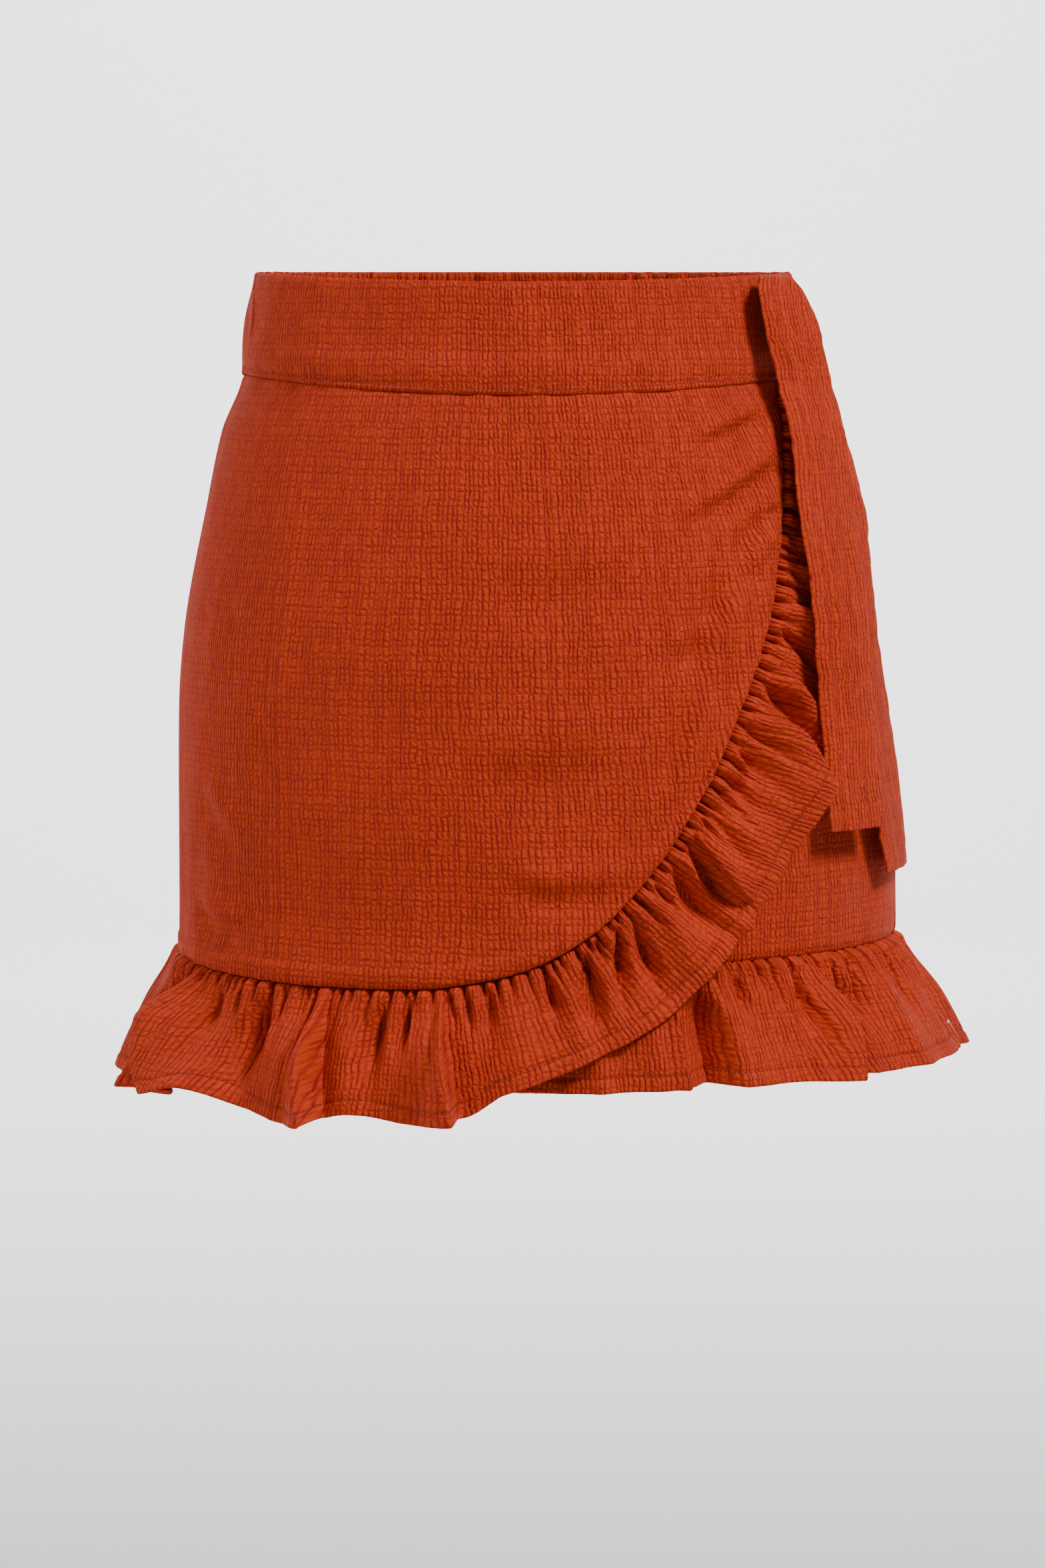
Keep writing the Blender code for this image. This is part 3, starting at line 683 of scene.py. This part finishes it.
def ruffle_points(at, length, rows, folds, out, seed, columns, lines, tuck=0.0026):
    """A ruffle's outer face, gathered under the panel's edge and in folds at the hem.

    at reads the seam, rows give the cut depth and flare along it, out is how far it lies from the
    form at an angle, and tuck how far its root goes under the panel.
    """
    u, v = share_grid(lines, columns)
    v = curve(ROW_SPREAD)(v)[0]
    along = np.broadcast_to(mix(0.0003, length - 0.0003, u), (lines + 1, columns + 1))
    cut, flare = curve(np.array(rows) / 1000)(along)
    lift, slide = folded(along, v, folds)
    moved = along + slide
    angle, depth = at(moved)
    behind, ahead = at(moved - 0.004), at(moved + 0.004)
    metres = metres_per_degree(angle, depth)
    across, down = (ahead[0] - behind[0]) * metres, ahead[1] - behind[1]
    size = np.hypot(across, down)
    across, down = across / size, down / size
    small = 0.0005 * noise(along / 0.006, v * cut / 0.016, seed + 1) * ease(v / 0.1)
    small = small + 0.0012 * noise(along / 0.017, v * cut / 0.045, seed + 2) * ease(v / 0.3)
    small = small + 0.00012 * noise(along / 0.0019, v * cut / 0.006, seed + 4)
    free = ease(np.minimum(along, length - along) / 0.010)  # its ends lie flat in the side seams
    stand = flare * v**0.9 + (lift + small + gathered(along, v, length, seed)) * free
    stand = stand - tuck * (1 - ease(v / 0.035))
    to_hem = (1 - v) * cut
    ditch = mound(to_hem - HEM_STITCH, 0.0009)
    wrinkle = 0.00022 * noise(along / 0.0024, to_hem / 0.006, seed + 3)
    wrinkle = wrinkle * ease((0.011 - to_hem) / 0.006)
    stand = stand - 0.0006 * ditch + wrinkle + 0.0003 * ease((0.0056 - to_hem) / 0.0016)
    fall = v * np.sqrt(cut**2 - flare**2) + 0.0006 - 0.0012 * (1 - ease(v / 0.04))
    lower_angle, lower = angle - down * fall / metres, depth + across * fall
    points = on_form(lower_angle, lower, out(angle) + CREPE / 2 + stand)
    weave = np.stack([along * RUFFLE_ALONG, v * cut], -1)
    wall = CREPE * (1 + 0.55 * ease((HEM_TURN - to_hem) / 0.0012))
    return points, weave, wall


pleated_crepe = cloth_finish("rust_crinkle_crepe_gathered", level=0.75)
points, weave, wall = ruffle_points(
    wrap_at,
    wrap_length,
    WRAP_RUFFLE,
    WRAP_FOLDS,
    out=lambda angle: -0.0002,
    seed=20,
    columns=1000,
    lines=40,
)
piece = sheet_mesh("wrap_ruffle_cloth", points, weave, wall, pleated_crepe)
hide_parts("wrap_ruffle")

THREAD = 0.00023  # half its thickness
STITCH = 0.0022

thread_finish, tree, shader = new_finish("rust_thread", 0.55)
where = add(tree, "ShaderNodeTexCoord").outputs["Object"]
twist = add(tree, "ShaderNodeTexNoise", {"Vector": where, "Scale": 2600.0, "Detail": 1.0})
shades = blend(tree, twist.outputs["Fac"], (0.15, 0.008, 0.006), (0.34, 0.030, 0.013))
tree.links.new(shades, shader["Base Color"])


def row_line(points, weave, up):
    """The line on a grid that lies a distance up from its last row, and its outward directions."""
    out = normals(points)
    target = weave[-1, :, 1] - up
    line, outward = [], []
    for k in range(points.shape[1]):
        share = np.interp(target[k], weave[:, k, 1], np.arange(points.shape[0]))
        i = min(int(share), points.shape[0] - 2)
        line.append(mix(points[i, k], points[i + 1, k], share - i))
        outward.append(out[i, k])
    return np.array(line), np.array(outward)


def stitches(name, points, weave, up):
    """A row of stitches on a grid of cloth, each an arched bit of thread."""
    line, outward = row_line(points, weave, up)
    shares = np.array([0.0, 0.25, 0.75, 1.0])
    lifts = np.array([-0.6, 0.75, 0.75, -0.6]) * THREAD
    sizes = np.array([0.45, 1.0, 1.0, 0.45]) * THREAD
    turns = np.radians([0, 72, 144, 216, 288])
    reach = np.concatenate([[0.0], np.cumsum(np.linalg.norm(np.diff(line, axis=0), axis=1))])
    vertices, faces = [], []
    for k in range(int(reach[-1] / STITCH)):
        places = STITCH * (k + 0.12 + 0.76 * shares)
        middle = np.stack([np.interp(places, reach, line[:, i]) for i in range(3)], -1)
        out = np.stack([np.interp(places, reach, outward[:, i]) for i in range(3)], -1)
        ahead = middle[-1] - middle[0]
        side = np.cross(out, ahead / np.linalg.norm(ahead))
        rings = (
            (middle + out * lifts[:, None])[:, None]
            + side[:, None] * (sizes[:, None] * np.cos(turns))[..., None]
            + out[:, None] * (sizes[:, None] * np.sin(turns))[..., None]
        )
        base = len(vertices)
        vertices.extend(rings.reshape(-1, 3).tolist())
        faces.append(tuple(base + i for i in (4, 3, 2, 1, 0)))
        faces.append(tuple(base + 15 + i for i in range(5)))
        for ring in range(3):
            for i in range(5):
                a, b = base + ring * 5 + i, base + ring * 5 + (i + 1) % 5
                faces.append((a, b, b + 5, a + 5))
    thread = smooth_object(name, vertices, faces, thread_finish)
    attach(thread, "root")
    return thread


thread = stitches("wrap_ruffle_stitches", points, weave, HEM_STITCH)

# ------------------------------------------------
# Under panel and its ruffle
# The layer behind the wrap: a plain panel from under the wrap to the +X side seam, and a shorter
# gathered strip on its hem, made as the other ruffle is.

UNDER_EDGE = -14.0  # the angle of its side behind the wrap
UNDER_HEM = 0.2815  # its depth
UNDER_RUFFLE = (  # in millimetres, as for the wrap ruffle
    (0, 50, 3.5),
    (35, 50, 4.5),
    (62, 50, 12),
    (110, 51, 22),
    (160, 53, 25),
    (236, 55, 29),
)
UNDER_FOLDS = (  # in millimetres, as for the wrap ruffle
    (60, 61, 62, 10, 9, 1.8, 0, 0.05, 0.5, 3.0),
    (84, 84, 84, 12, 9, 2.8, 0, 0.05, 0.5, 3.0),
    (92, 92.5, 93, 6, 3, 3, 0.6, 0.1, 0.5, 3.0),
    (104, 104.5, 104, 12, 8, -8.5, 0, 0.02, 0.5, 3.0),
    (112, 113, 115, 10, 16, 3, 0, 0.03, 0.5, 3.0),
    (121, 121, 122, 4, 6, -3.6, 0, 0.01, 0.2, 0.6),
    (137.5, 138, 139, 4, 4, -2.2, 0, 0.01, 0.15, 0.5),
    (150, 149.8, 151, 9, 3, -5, 0, 0.01, 0.35, 0.95),
    (166, 166, 166, 2.5, 3, -2.6, 0, 0.01, 0.08, 0.3),
    (160, 160, 154.5, 18, 3, 8.5, 2, 0.03, 0.5, 3.0),
    (170, 167.5, 163, 4, 8, -6.5, 0, 0.02, 0.5, 3.0),
    (180, 177, 181, 5, 8, -8, 0, 0.01, 0.25, 0.8),
    (192, 193, 195, 10, 12, 3, 0, 0.03, 0.5, 3.0),
    (205, 206, 208, 4, 5, -3, 0, 0.01, 0.25, 0.8),
    (225, 225.5, 226, 6, 5, -5, 0, 0.02, 0.4, 1.2),
)


def hung_panel(left, right, bottom, out, rows, columns, seed, folds=None):
    """A panel's outer face between two angles, with its top under the waistband."""
    u, v = share_grid(rows, columns)
    angle = np.broadcast_to(mix(left, right, u), (rows + 1, columns + 1))
    depth = mix(band_bottom(angle) + 2 * SEAM_GAP, bottom(angle), v)
    down, _ = lengths_down(on_form(angle, depth))
    to_hem = down[-1:] - down
    lift = 0.0004 * noise(angle / 4.0, depth / 0.05, seed) * ease(down / 0.02)
    lift = lift + 0.0005 * noise(angle / 2.0, to_hem / 0.012, seed + 1) * np.exp(-to_hem / 0.009)
    lift = lift - 0.0009 * (1 - ease(to_hem / 0.0022)) - 0.0004 * (1 - ease(down / 0.002))
    if folds is not None:
        lift = lift + folds(angle, depth, u, v)
    return on_form(angle, depth, out(angle) + lift), flat_cloth(angle, depth)


def under_hem(angle):
    return np.full_like(angle, UNDER_HEM)


def under_out(angle):
    """It lies under the wrap, and comes out to the back panel's surface at the side seam."""
    return mix(-0.0036, -0.0010, ease((angle - 55) / 25))


points, weave = hung_panel(
    UNDER_EDGE, SIDE_SEAM - SIDE_GAP, under_hem, under_out, rows=100, columns=100, seed=31
)
piece = sheet_mesh("under_panel_cloth", points, weave, CREPE, crepe)
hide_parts("under_panel")


def drawn_in(angle):
    """The ruffles' side seam draws them in a little at the label."""
    return -0.0031 * mound(angle - SIDE_SEAM, 2.4)


under_at, under_length = seam_line(under_hem, UNDER_EDGE, SIDE_SEAM)
points, weave, wall = ruffle_points(
    under_at,
    under_length,
    UNDER_RUFFLE,
    UNDER_FOLDS,
    out=lambda angle: under_out(angle) + drawn_in(angle),
    seed=40,
    columns=480,
    lines=38,
)
under_ruffle = sheet_mesh("under_ruffle_cloth", points, weave, wall, pleated_crepe)
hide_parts("under_ruffle")
thread = stitches("under_ruffle_stitches", points, weave, HEM_STITCH)

# ------------------------------------------------
# Back panel and its ruffle
# The whole back in one piece. The elastic waist gathers it, so soft folds run down from the band
# and fade towards the hem.

BACK_RUFFLE = (  # in millimetres, as for the wrap ruffle
    (0, 55, 29),
    (50, 56, 25),
    (390, 57, 25),
    (440, 60, 25),
)
BACK_FOLDS = (  # in millimetres, as for the wrap ruffle
    (10, 9, 12, 12, 12, 3, 0, 0.05, 0.5, 3.0),
    (28, 31.5, 32, 6, 7.5, -4.3, 0, 0.01, 0.4, 1.0),
    (46, 49.5, 50, 27, 4.4, 9, 2.2, 0.04, 0.5, 3.0),
    (64, 61, 62, 6, 6, -3.2, 0, 0.01, 0.25, 0.6),
    (78, 81.5, 82, 15, 15, 4, 0, 0.05, 0.5, 3.0),
    (96, 96.5, 94, 6, 7.5, -4.6, 0, 0.01, 0.35, 0.9),
    (112, 107, 106, 4.4, 30, 10, -2.4, 0.04, 0.5, 3.0),
    (134, 137.5, 138, 6, 7.5, -3.8, 0, 0.01, 0.3, 0.8),
    (154, 158.5, 160, 30, 4.4, 9, 2.2, 0.04, 0.5, 3.0),
    (172, 169, 170, 4.5, 6, -3.2, 0, 0.01, 0.25, 0.6),
    (190, 189.5, 186, 15, 18, 4, 0, 0.05, 0.5, 3.0),
    (208, 211.5, 212, 6, 7.5, -4.9, 0, 0.01, 0.4, 1.0),
    (226, 222, 222, 4.4, 27, 8.5, -2.4, 0.04, 0.5, 3.0),
    (250, 252.5, 252, 4.5, 6, -3.2, 0, 0.01, 0.3, 0.7),
    (268, 272.5, 274, 33, 4.4, 10, 2.4, 0.04, 0.5, 3.0),
    (288, 285, 286, 6, 7.5, -3.8, 0, 0.01, 0.3, 0.8),
    (306, 305.5, 302, 15, 15, 4, 0, 0.05, 0.5, 3.0),
    (324, 327.5, 328, 6, 7.5, -4.6, 0, 0.01, 0.4, 1.0),
    (344, 339, 338, 4.4, 27, 9, -2.2, 0.04, 0.5, 3.0),
    (366, 368.5, 368, 4.5, 6, -3.2, 0, 0.01, 0.25, 0.6),
    (384, 387.5, 388, 21, 9, 6, 1, 0.05, 0.5, 3.0),
    (404, 401, 402, 6, 7.5, -4.3, 0, 0.01, 0.4, 1.0),
    (424, 426.5, 426, 12, 12, 3, 0, 0.05, 0.5, 3.0),
)


def back_hem(angle):
    return mix(0.2820, 0.2874, (angle - SIDE_SEAM) / (360.0 - 2 * SIDE_SEAM))


def back_out(angle):
    return -0.0008 + 0 * angle


def waist_folds(angle, depth, u, v):
    """Folds that the elastic sends down the back: many at the waist, few and soft lower down."""
    flat_ends = ease(12 * u) * ease(12 * (1 - u))
    arc = angle * METRES_ROUND
    fine = 0.0020 * noise(arc / 0.0055, depth / 0.035, 61) * np.exp(-((depth - 0.04) / 0.026))
    broad = 0.0032 * noise(arc / 0.017, depth / 0.13, 62) * mix(1.0, 0.35, v)
    return (fine + broad) * flat_ends


points, weave = hung_panel(
    SIDE_SEAM + SIDE_GAP,
    360.0 - SIDE_SEAM - SIDE_GAP,
    back_hem,
    back_out,
    rows=90,
    columns=250,
    seed=51,
    folds=waist_folds,
)
piece = sheet_mesh("back_panel_cloth", points, weave, CREPE, crepe)
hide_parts("back_panel")

back_at, back_length = seam_line(back_hem, SIDE_SEAM, 360.0 - SIDE_SEAM)
points, weave, wall = ruffle_points(
    back_at,
    back_length,
    BACK_RUFFLE,
    BACK_FOLDS,
    out=lambda angle: back_out(angle) - SEAM_GAP + drawn_in(angle),
    seed=60,
    columns=820,
    lines=36,
    tuck=0.0018,
)
back_ruffle = sheet_mesh("back_ruffle_cloth", points, weave, wall, pleated_crepe)
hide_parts("back_ruffle")
thread = stitches("back_ruffle_stitches", points, weave, HEM_STITCH)

# ------------------------------------------------
# Waistband
# The front is smooth: crepe folded over a facing, with an edge stitch above its lower seam. A short
# end of the under layer's band fills the gap behind the tie. The back is gathered on wide elastic.

SEAM_BOW = 8.0  # how far the band's side seams bow towards the front, in degrees
BAND_END = 54.0  # the angle of the wrap's end
BAND_GAP = 0.07  # half the gap at its seams, in degrees
BAND_CLOTH, BACK_BAND_CLOTH = 0.0028, 0.0024
BAND_ROUND = 0.00215  # flat cloth for each degree round
EDGE_STITCH = 0.0020  # from the lower seam up to the stitches
BAND_PROFILE = (  # share down the band, how far its face swells
    (0.00, -0.0002),
    (0.05, 0.0003),
    (0.40, 0.0001),
    (0.60, 0.0002),
    (0.77, 0.0014),
    (0.90, 0.0006),
    (0.95, 0.0002),
    (0.98, 0.0005),
    (1.00, -0.0002),
)


def band_face(left, right, rows, columns, out, seed):
    """The outer face of a smooth length of waistband, and its place in the cloth."""
    u, v = share_grid(rows, columns)
    angle = mix(left(v), right(v), u)
    top, bottom = band_top(angle), band_bottom(angle)
    depth = mix(top, bottom, v)
    swell = curve(BAND_PROFILE)(np.broadcast_to(v, angle.shape))[0]
    swell = swell + 0.0003 * noise(angle / 3.5, depth / 0.012, seed)
    swell = swell - 0.0006 * mound(bottom - depth - EDGE_STITCH, 0.0007)
    points = on_form(angle, depth, out + swell)
    return points, np.stack([angle * BAND_ROUND, depth * CLOTH_DOWN], -1)


def bowed(v):
    return SIDE_SEAM - SEAM_BOW * np.sin(math.pi * v)


points, weave = band_face(
    left=lambda v: BAND_GAP - bowed(v),
    right=lambda v: np.full_like(v, BAND_END - BAND_GAP),
    rows=40,
    columns=230,
    out=0.0004,
    seed=71,
)
front = sheet_mesh("waistband_front_cloth", points, weave, BAND_CLOTH, crepe)
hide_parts("waistband_front")
thread = stitches("waistband_stitches", points, weave, EDGE_STITCH)

points, weave = band_face(
    left=lambda v: np.full_like(v, BAND_END + BAND_GAP),
    right=lambda v: bowed(v) - BAND_GAP,
    rows=40,
    columns=40,
    out=0.0002,
    seed=75,
)
piece = sheet_mesh("waistband_under_cloth", points, weave, BAND_CLOTH, crepe)
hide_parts("waistband_under")


def back_band():
    """The gathered band: narrow puffs down it, flat where it meets the front band."""
    u, v = share_grid(30, 400)
    bow = (bowed(v) - SIDE_SEAM) * (1 - 2 * u) ** 5
    angle = mix(SIDE_SEAM + BAND_GAP, 360.0 - SIDE_SEAM - BAND_GAP, u) + bow
    depth = mix(band_top(angle), band_bottom(angle), v)
    arc = u * 0.30
    flat_ends = ease(14 * u) * ease(14 * (1 - u))
    wave = 0.0016 * noise(arc / 0.0032, v * 1.4, 81) + 0.0007 * noise(arc / 0.0016, v * 2.2, 82)
    edge = 1 - 0.5 * mound(v - 1, 0.06)
    points = on_form(angle, depth, 0.0010 + wave * flat_ends * edge)
    return points, np.stack([arc * 1.5 + 0 * depth, depth], -1)


points, weave = back_band()
piece = sheet_mesh("waistband_back_cloth", points, weave, BACK_BAND_CLOTH, crepe)
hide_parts("waistband_back")

# ------------------------------------------------
# Tie
# One strip of crepe, turned and pressed double, folded over the top of the waistband at the hip.
# Its two free ends hang one behind the other.

TIE_CLOTH = 0.0018
TIE_FRONT = (  # depth, then angle and out of the left edge and of the right: millimetres, degrees
    (30, 56.5, 1.8, 64, 1.8),
    (12, 56.5, 2, 65, 2.2),
    (3, 56, 2.8, 65.5, 3.6),
    (0.4, 55, 6, 65.5, 8),
    (3.5, 52.5, 9.2, 63.5, 12.5),
    (8, 51.4, 10.2, 64, 14.5),
    (19, 51, 10.6, 66, 16),
    (30, 51.8, 10.6, 66.3, 17),
    (41, 53, 10.6, 67.5, 17),
    (52.5, 52.6, 10.6, 67.5, 16),
    (63, 51.4, 10.6, 65.8, 15.2),
    (79, 50, 10.6, 64.6, 14.2),
    (96, 49, 10.6, 63.7, 13.4),
    (118, 48.6, 10.4, 62.5, 12.8),
    (140, 48.4, 10, 61.2, 12.4),
    (162, 48.2, 9.2, 60.3, 12),
    (189, 48.2, 8.6, 60.1, 11.2),
    (212, 48.3, 8.2, 60.2, 10.4),
    (228.5, 48.5, 7.8, 60.5, 10),
)
TIE_BACK = (  # in the same way
    (37, 65, 1.8, 73, 1.8),
    (45, 62.5, 6, 72, 5.8),
    (55, 59.5, 7.6, 71, 8.4),
    (70, 58, 7.8, 71.4, 10.2),
    (97, 57.5, 7.8, 72, 10.6),
    (119, 57.5, 7.8, 69.6, 9.6),
    (142, 58, 7.6, 69.6, 7.6),
    (164, 59, 7.4, 70.8, 6.4),
    (205, 61.5, 6.6, 75.2, 5),
    (230, 63.3, 5.8, 78.2, 4.2),
    (250, 66.5, 4.8, 81.5, 3.6),
)


def tie_points(rows, seed):
    """A tie end's outer face, across from its left edge and down from its root.

    Its columns lie closer together at both edges, and the edges waver a little.
    """
    u, v = share_grid(220, 26)
    u = 0.5 - 0.5 * np.cos(np.pi * u) * (1 - 0.25 * np.sin(np.pi * u) ** 2)
    numbered = [(k, *row) for k, row in enumerate(np.array(rows) / (1000, 1, 1000, 1, 1000))]
    depth, left, left_out, right, right_out = curve(numbered)(v * (len(rows) - 1))
    run = lengths_down(on_form(left, depth, left_out))[0]
    waver = noise(run / 0.0034, 5.0 + 0 * run, seed)
    angle = mix(left + 0.24 * waver, right - 0.18 * waver, u)
    edges = np.minimum(u, 1 - u)
    swell = 0.0003 * ease(edges / 0.12) + 0.00035 * noise(u * 7, run / 0.03, seed + 1)
    swell = swell + 0.0002 * noise(u * 13, run / 0.004, seed + 2)
    points = on_form(angle, depth, mix(left_out, right_out, u) + TIE_CLOTH / 2 + swell)
    down, across = lengths_down(points)
    wall = TIE_CLOTH * mix(0.75, 1.0, ease(edges / 0.06))
    return points, np.stack([across, down[:, :1] + 0 * across], -1), wall


long_crepe = cloth_finish("rust_crinkle_crepe_tie", level=0.5, relief=1.4)
for name, rows, seed, size in (
    ("tie_front", TIE_FRONT, 91, (0.030, 0.265)),
    ("tie_back", TIE_BACK, 95, (0.030, 0.215)),
):
    points, weave, wall = tie_points(rows, seed)
    piece = sheet_mesh(name + "_cloth", points, weave, wall, long_crepe)
    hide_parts(name)

# ------------------------------------------------
# Hem label
# A small bare loop of woven red tape, caught in the side seam at the hem. A pale thread binds its
# upper edge.

label_finish, tree, shader = new_finish("woven_label", 0.6)
where = add(tree, "ShaderNodeTexCoord").outputs
weft = add(
    tree,
    "ShaderNodeTexWave",
    {"Vector": where["Object"], "Scale": 900.0, "Distortion": 0.6},
    bands_direction="Z",
).outputs["Fac"]
up = add(tree, "ShaderNodeSeparateXYZ", {0: where["Generated"]}).outputs["Z"]
tape = blend(tree, weft, (0.42, 0.020, 0.016), (0.56, 0.034, 0.024))
bound = blend(tree, smooth(tree, up, 0.90, 0.93), tape, (0.80, 0.78, 0.76))
relief = add(tree, "ShaderNodeBump", {"Height": weft, "Strength": 0.5, "Distance": 0.0001})
tree.links.new(bound, shader["Base Color"])
tree.links.new(relief.outputs["Normal"], shader["Normal"])
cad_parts["hem_label"].data.materials.clear()
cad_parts["hem_label"].data.materials.append(label_finish)

# ------------------------------------------------
# Shorts
# Two legs of the same crepe, seamed down the middle and joined to the waistband inside the skirt.

SHORTS_TOP, SHORTS_HEM = 0.0365, 0.285
FORK_TOP, FORK_END = 0.125, 0.205  # where the hips turn into two legs
LEG = (0.067, 0.080)  # half width and half depth


def leg_points(side):
    """One leg's outer face, from the middle front round the hip or leg to the middle back."""
    u, v = share_grid(70, 100)
    u = u if side > 0 else 1 - u
    depth = mix(SHORTS_TOP, SHORTS_HEM, v)
    half_width, half_depth, sway = read_form(depth)
    out = mix(-0.0036, -0.0072, ease((depth - SHORTS_TOP) / 0.012))
    half_width, half_depth = half_width + out, half_depth + out
    fork = ease((depth - FORK_TOP) / (FORK_END - FORK_TOP))
    taper = 0.004 * np.clip((depth - FORK_END) / (SHORTS_HEM - FORK_END), 0, 1)
    turn = 2 * math.pi * mix(0.0006, 0.9994, u)
    hip = np.sin(np.pi * u) * half_width, -np.cos(np.pi * u) * half_depth
    leg = LEG[0] - np.cos(turn) * (LEG[0] - taper), -np.sin(turn) * (LEG[1] - taper)
    soft = 0.0006 * noise(u * 14, depth / 0.045, 101 + side) * ease((depth - 0.05) / 0.03)
    x = mix(hip[0], leg[0], fork) - soft * np.sin(np.pi * u)
    y = mix(hip[1], leg[1], fork)
    x = x - 0.0003 * mound(SHORTS_HEM - depth - HEM_STITCH, 0.0007) * np.sin(np.pi * u)
    points = np.stack(np.broadcast_arrays(sway + side * (x - 0.00005), y, -depth), -1)
    return points, np.stack(np.broadcast_arrays(u * 0.42, depth), -1)


for name, side in (("shorts_left", 1), ("shorts_right", -1)):
    points, weave = leg_points(side)
    piece = sheet_mesh(name + "_cloth", points, weave, CREPE, crepe)
    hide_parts(name)
    thread = stitches(name + "_stitches", points, weave, HEM_STITCH)

# ------------------------------------------------
# Studio
# A pale floor that curves up into a wall, soft lights, and the camera level with the waist.

FLOOR = -0.75
FLOOR_FRONT, WALL, WALL_TOP = -5.0, 5.0, 7.0
BEND = 2.0  # radius of the curve between floor and wall
HALF_WIDTH = 7.0

paper, tree, shader = new_finish("pale_paper", 0.9)
grain = add(tree, "ShaderNodeTexNoise", {"Scale": 3.0, "Detail": 2.0}).outputs["Fac"]
tree.links.new(blend(tree, grain, (0.68, 0.68, 0.68), (0.71, 0.71, 0.71)), shader["Base Color"])

curved = [
    (WALL - BEND + BEND * math.sin(a), FLOOR + BEND * (1 - math.cos(a)))
    for a in np.linspace(0.1, 1.571, 16)  # up to a quarter turn
]
profile = [(FLOOR_FRONT, FLOOR), (WALL - BEND, FLOOR), *curved, (WALL, WALL_TOP)]
vertices = [(x, y, z) for y, z in profile for x in (-HALF_WIDTH, HALF_WIDTH)]
faces = [(2 * k, 2 * k + 1, 2 * k + 3, 2 * k + 2) for k in range(len(profile) - 1)]
floor = smooth_object("studio_floor", vertices, faces, paper)

world = bpy.data.worlds.new("studio")
world.use_nodes = True
tree = world.node_tree
faint = tree.nodes["Background"]  # the light that it gives
faint.inputs["Color"].default_value = (1.0, 1.0, 1.0, 1.0)
faint.inputs["Strength"].default_value = 0.03
seen = add(tree, "ShaderNodeBackground", {"Color": (0.92, 0.93, 0.94, 1.0), "Strength": 2.0})
camera_ray = add(tree, "ShaderNodeLightPath").outputs["Is Camera Ray"]
shown = add(tree, "ShaderNodeMixShader", {0: camera_ray, 1: faint.outputs[0], 2: seen.outputs[0]})
tree.links.new(shown.outputs[0], tree.nodes["World Output"].inputs["Surface"])
bpy.context.scene.world = world


def lamp(name, place, target, size, power):
    """A soft rectangular lamp that faces its target."""
    light = bpy.data.lights.new(name, "AREA")
    light.shape = "RECTANGLE"
    light.size, light.size_y = size
    light.energy = power
    holder = bpy.data.objects.new(name, light)
    holder.location = place
    away = np.array(place) - np.array(target)
    flat = math.hypot(away[0], away[1])
    holder.rotation_euler = (math.atan2(flat, away[2]), 0.0, math.atan2(away[0], -away[1]))
    bpy.context.scene.collection.objects.link(holder)


MIDDLE = (0.0, 0.0, -0.17)
lamp("key", (1.45, -1.3, 1.75), MIDDLE, (0.6, 0.6), 82)
lamp("fill", (-1.5, -1.4, 1.2), MIDDLE, (1.2, 1.2), 15)
lamp("edge_left", (-1.9, 0.15, 0.6), MIDDLE, (0.8, 1.6), 22)
lamp("edge_right", (1.6, 0.9, 0.2), MIDDLE, (0.6, 1.6), 6)
lamp("backdrop", (0.0, 1.2, 2.4), (0.0, 5.2, 1.2), (5.0, 1.0), 780)

TILT_DOWN = 6.92
view = bpy.data.cameras.new("camera")
view.lens = 96.43
view.sensor_width = 36.0
camera = bpy.data.objects.new("camera", view)
camera.location = (0.0, -1.8, 0.0)
camera.rotation_euler = (math.radians(90.0 - TILT_DOWN), 0.0, 0.0)
bpy.context.scene.collection.objects.link(camera)
bpy.context.scene.camera = camera
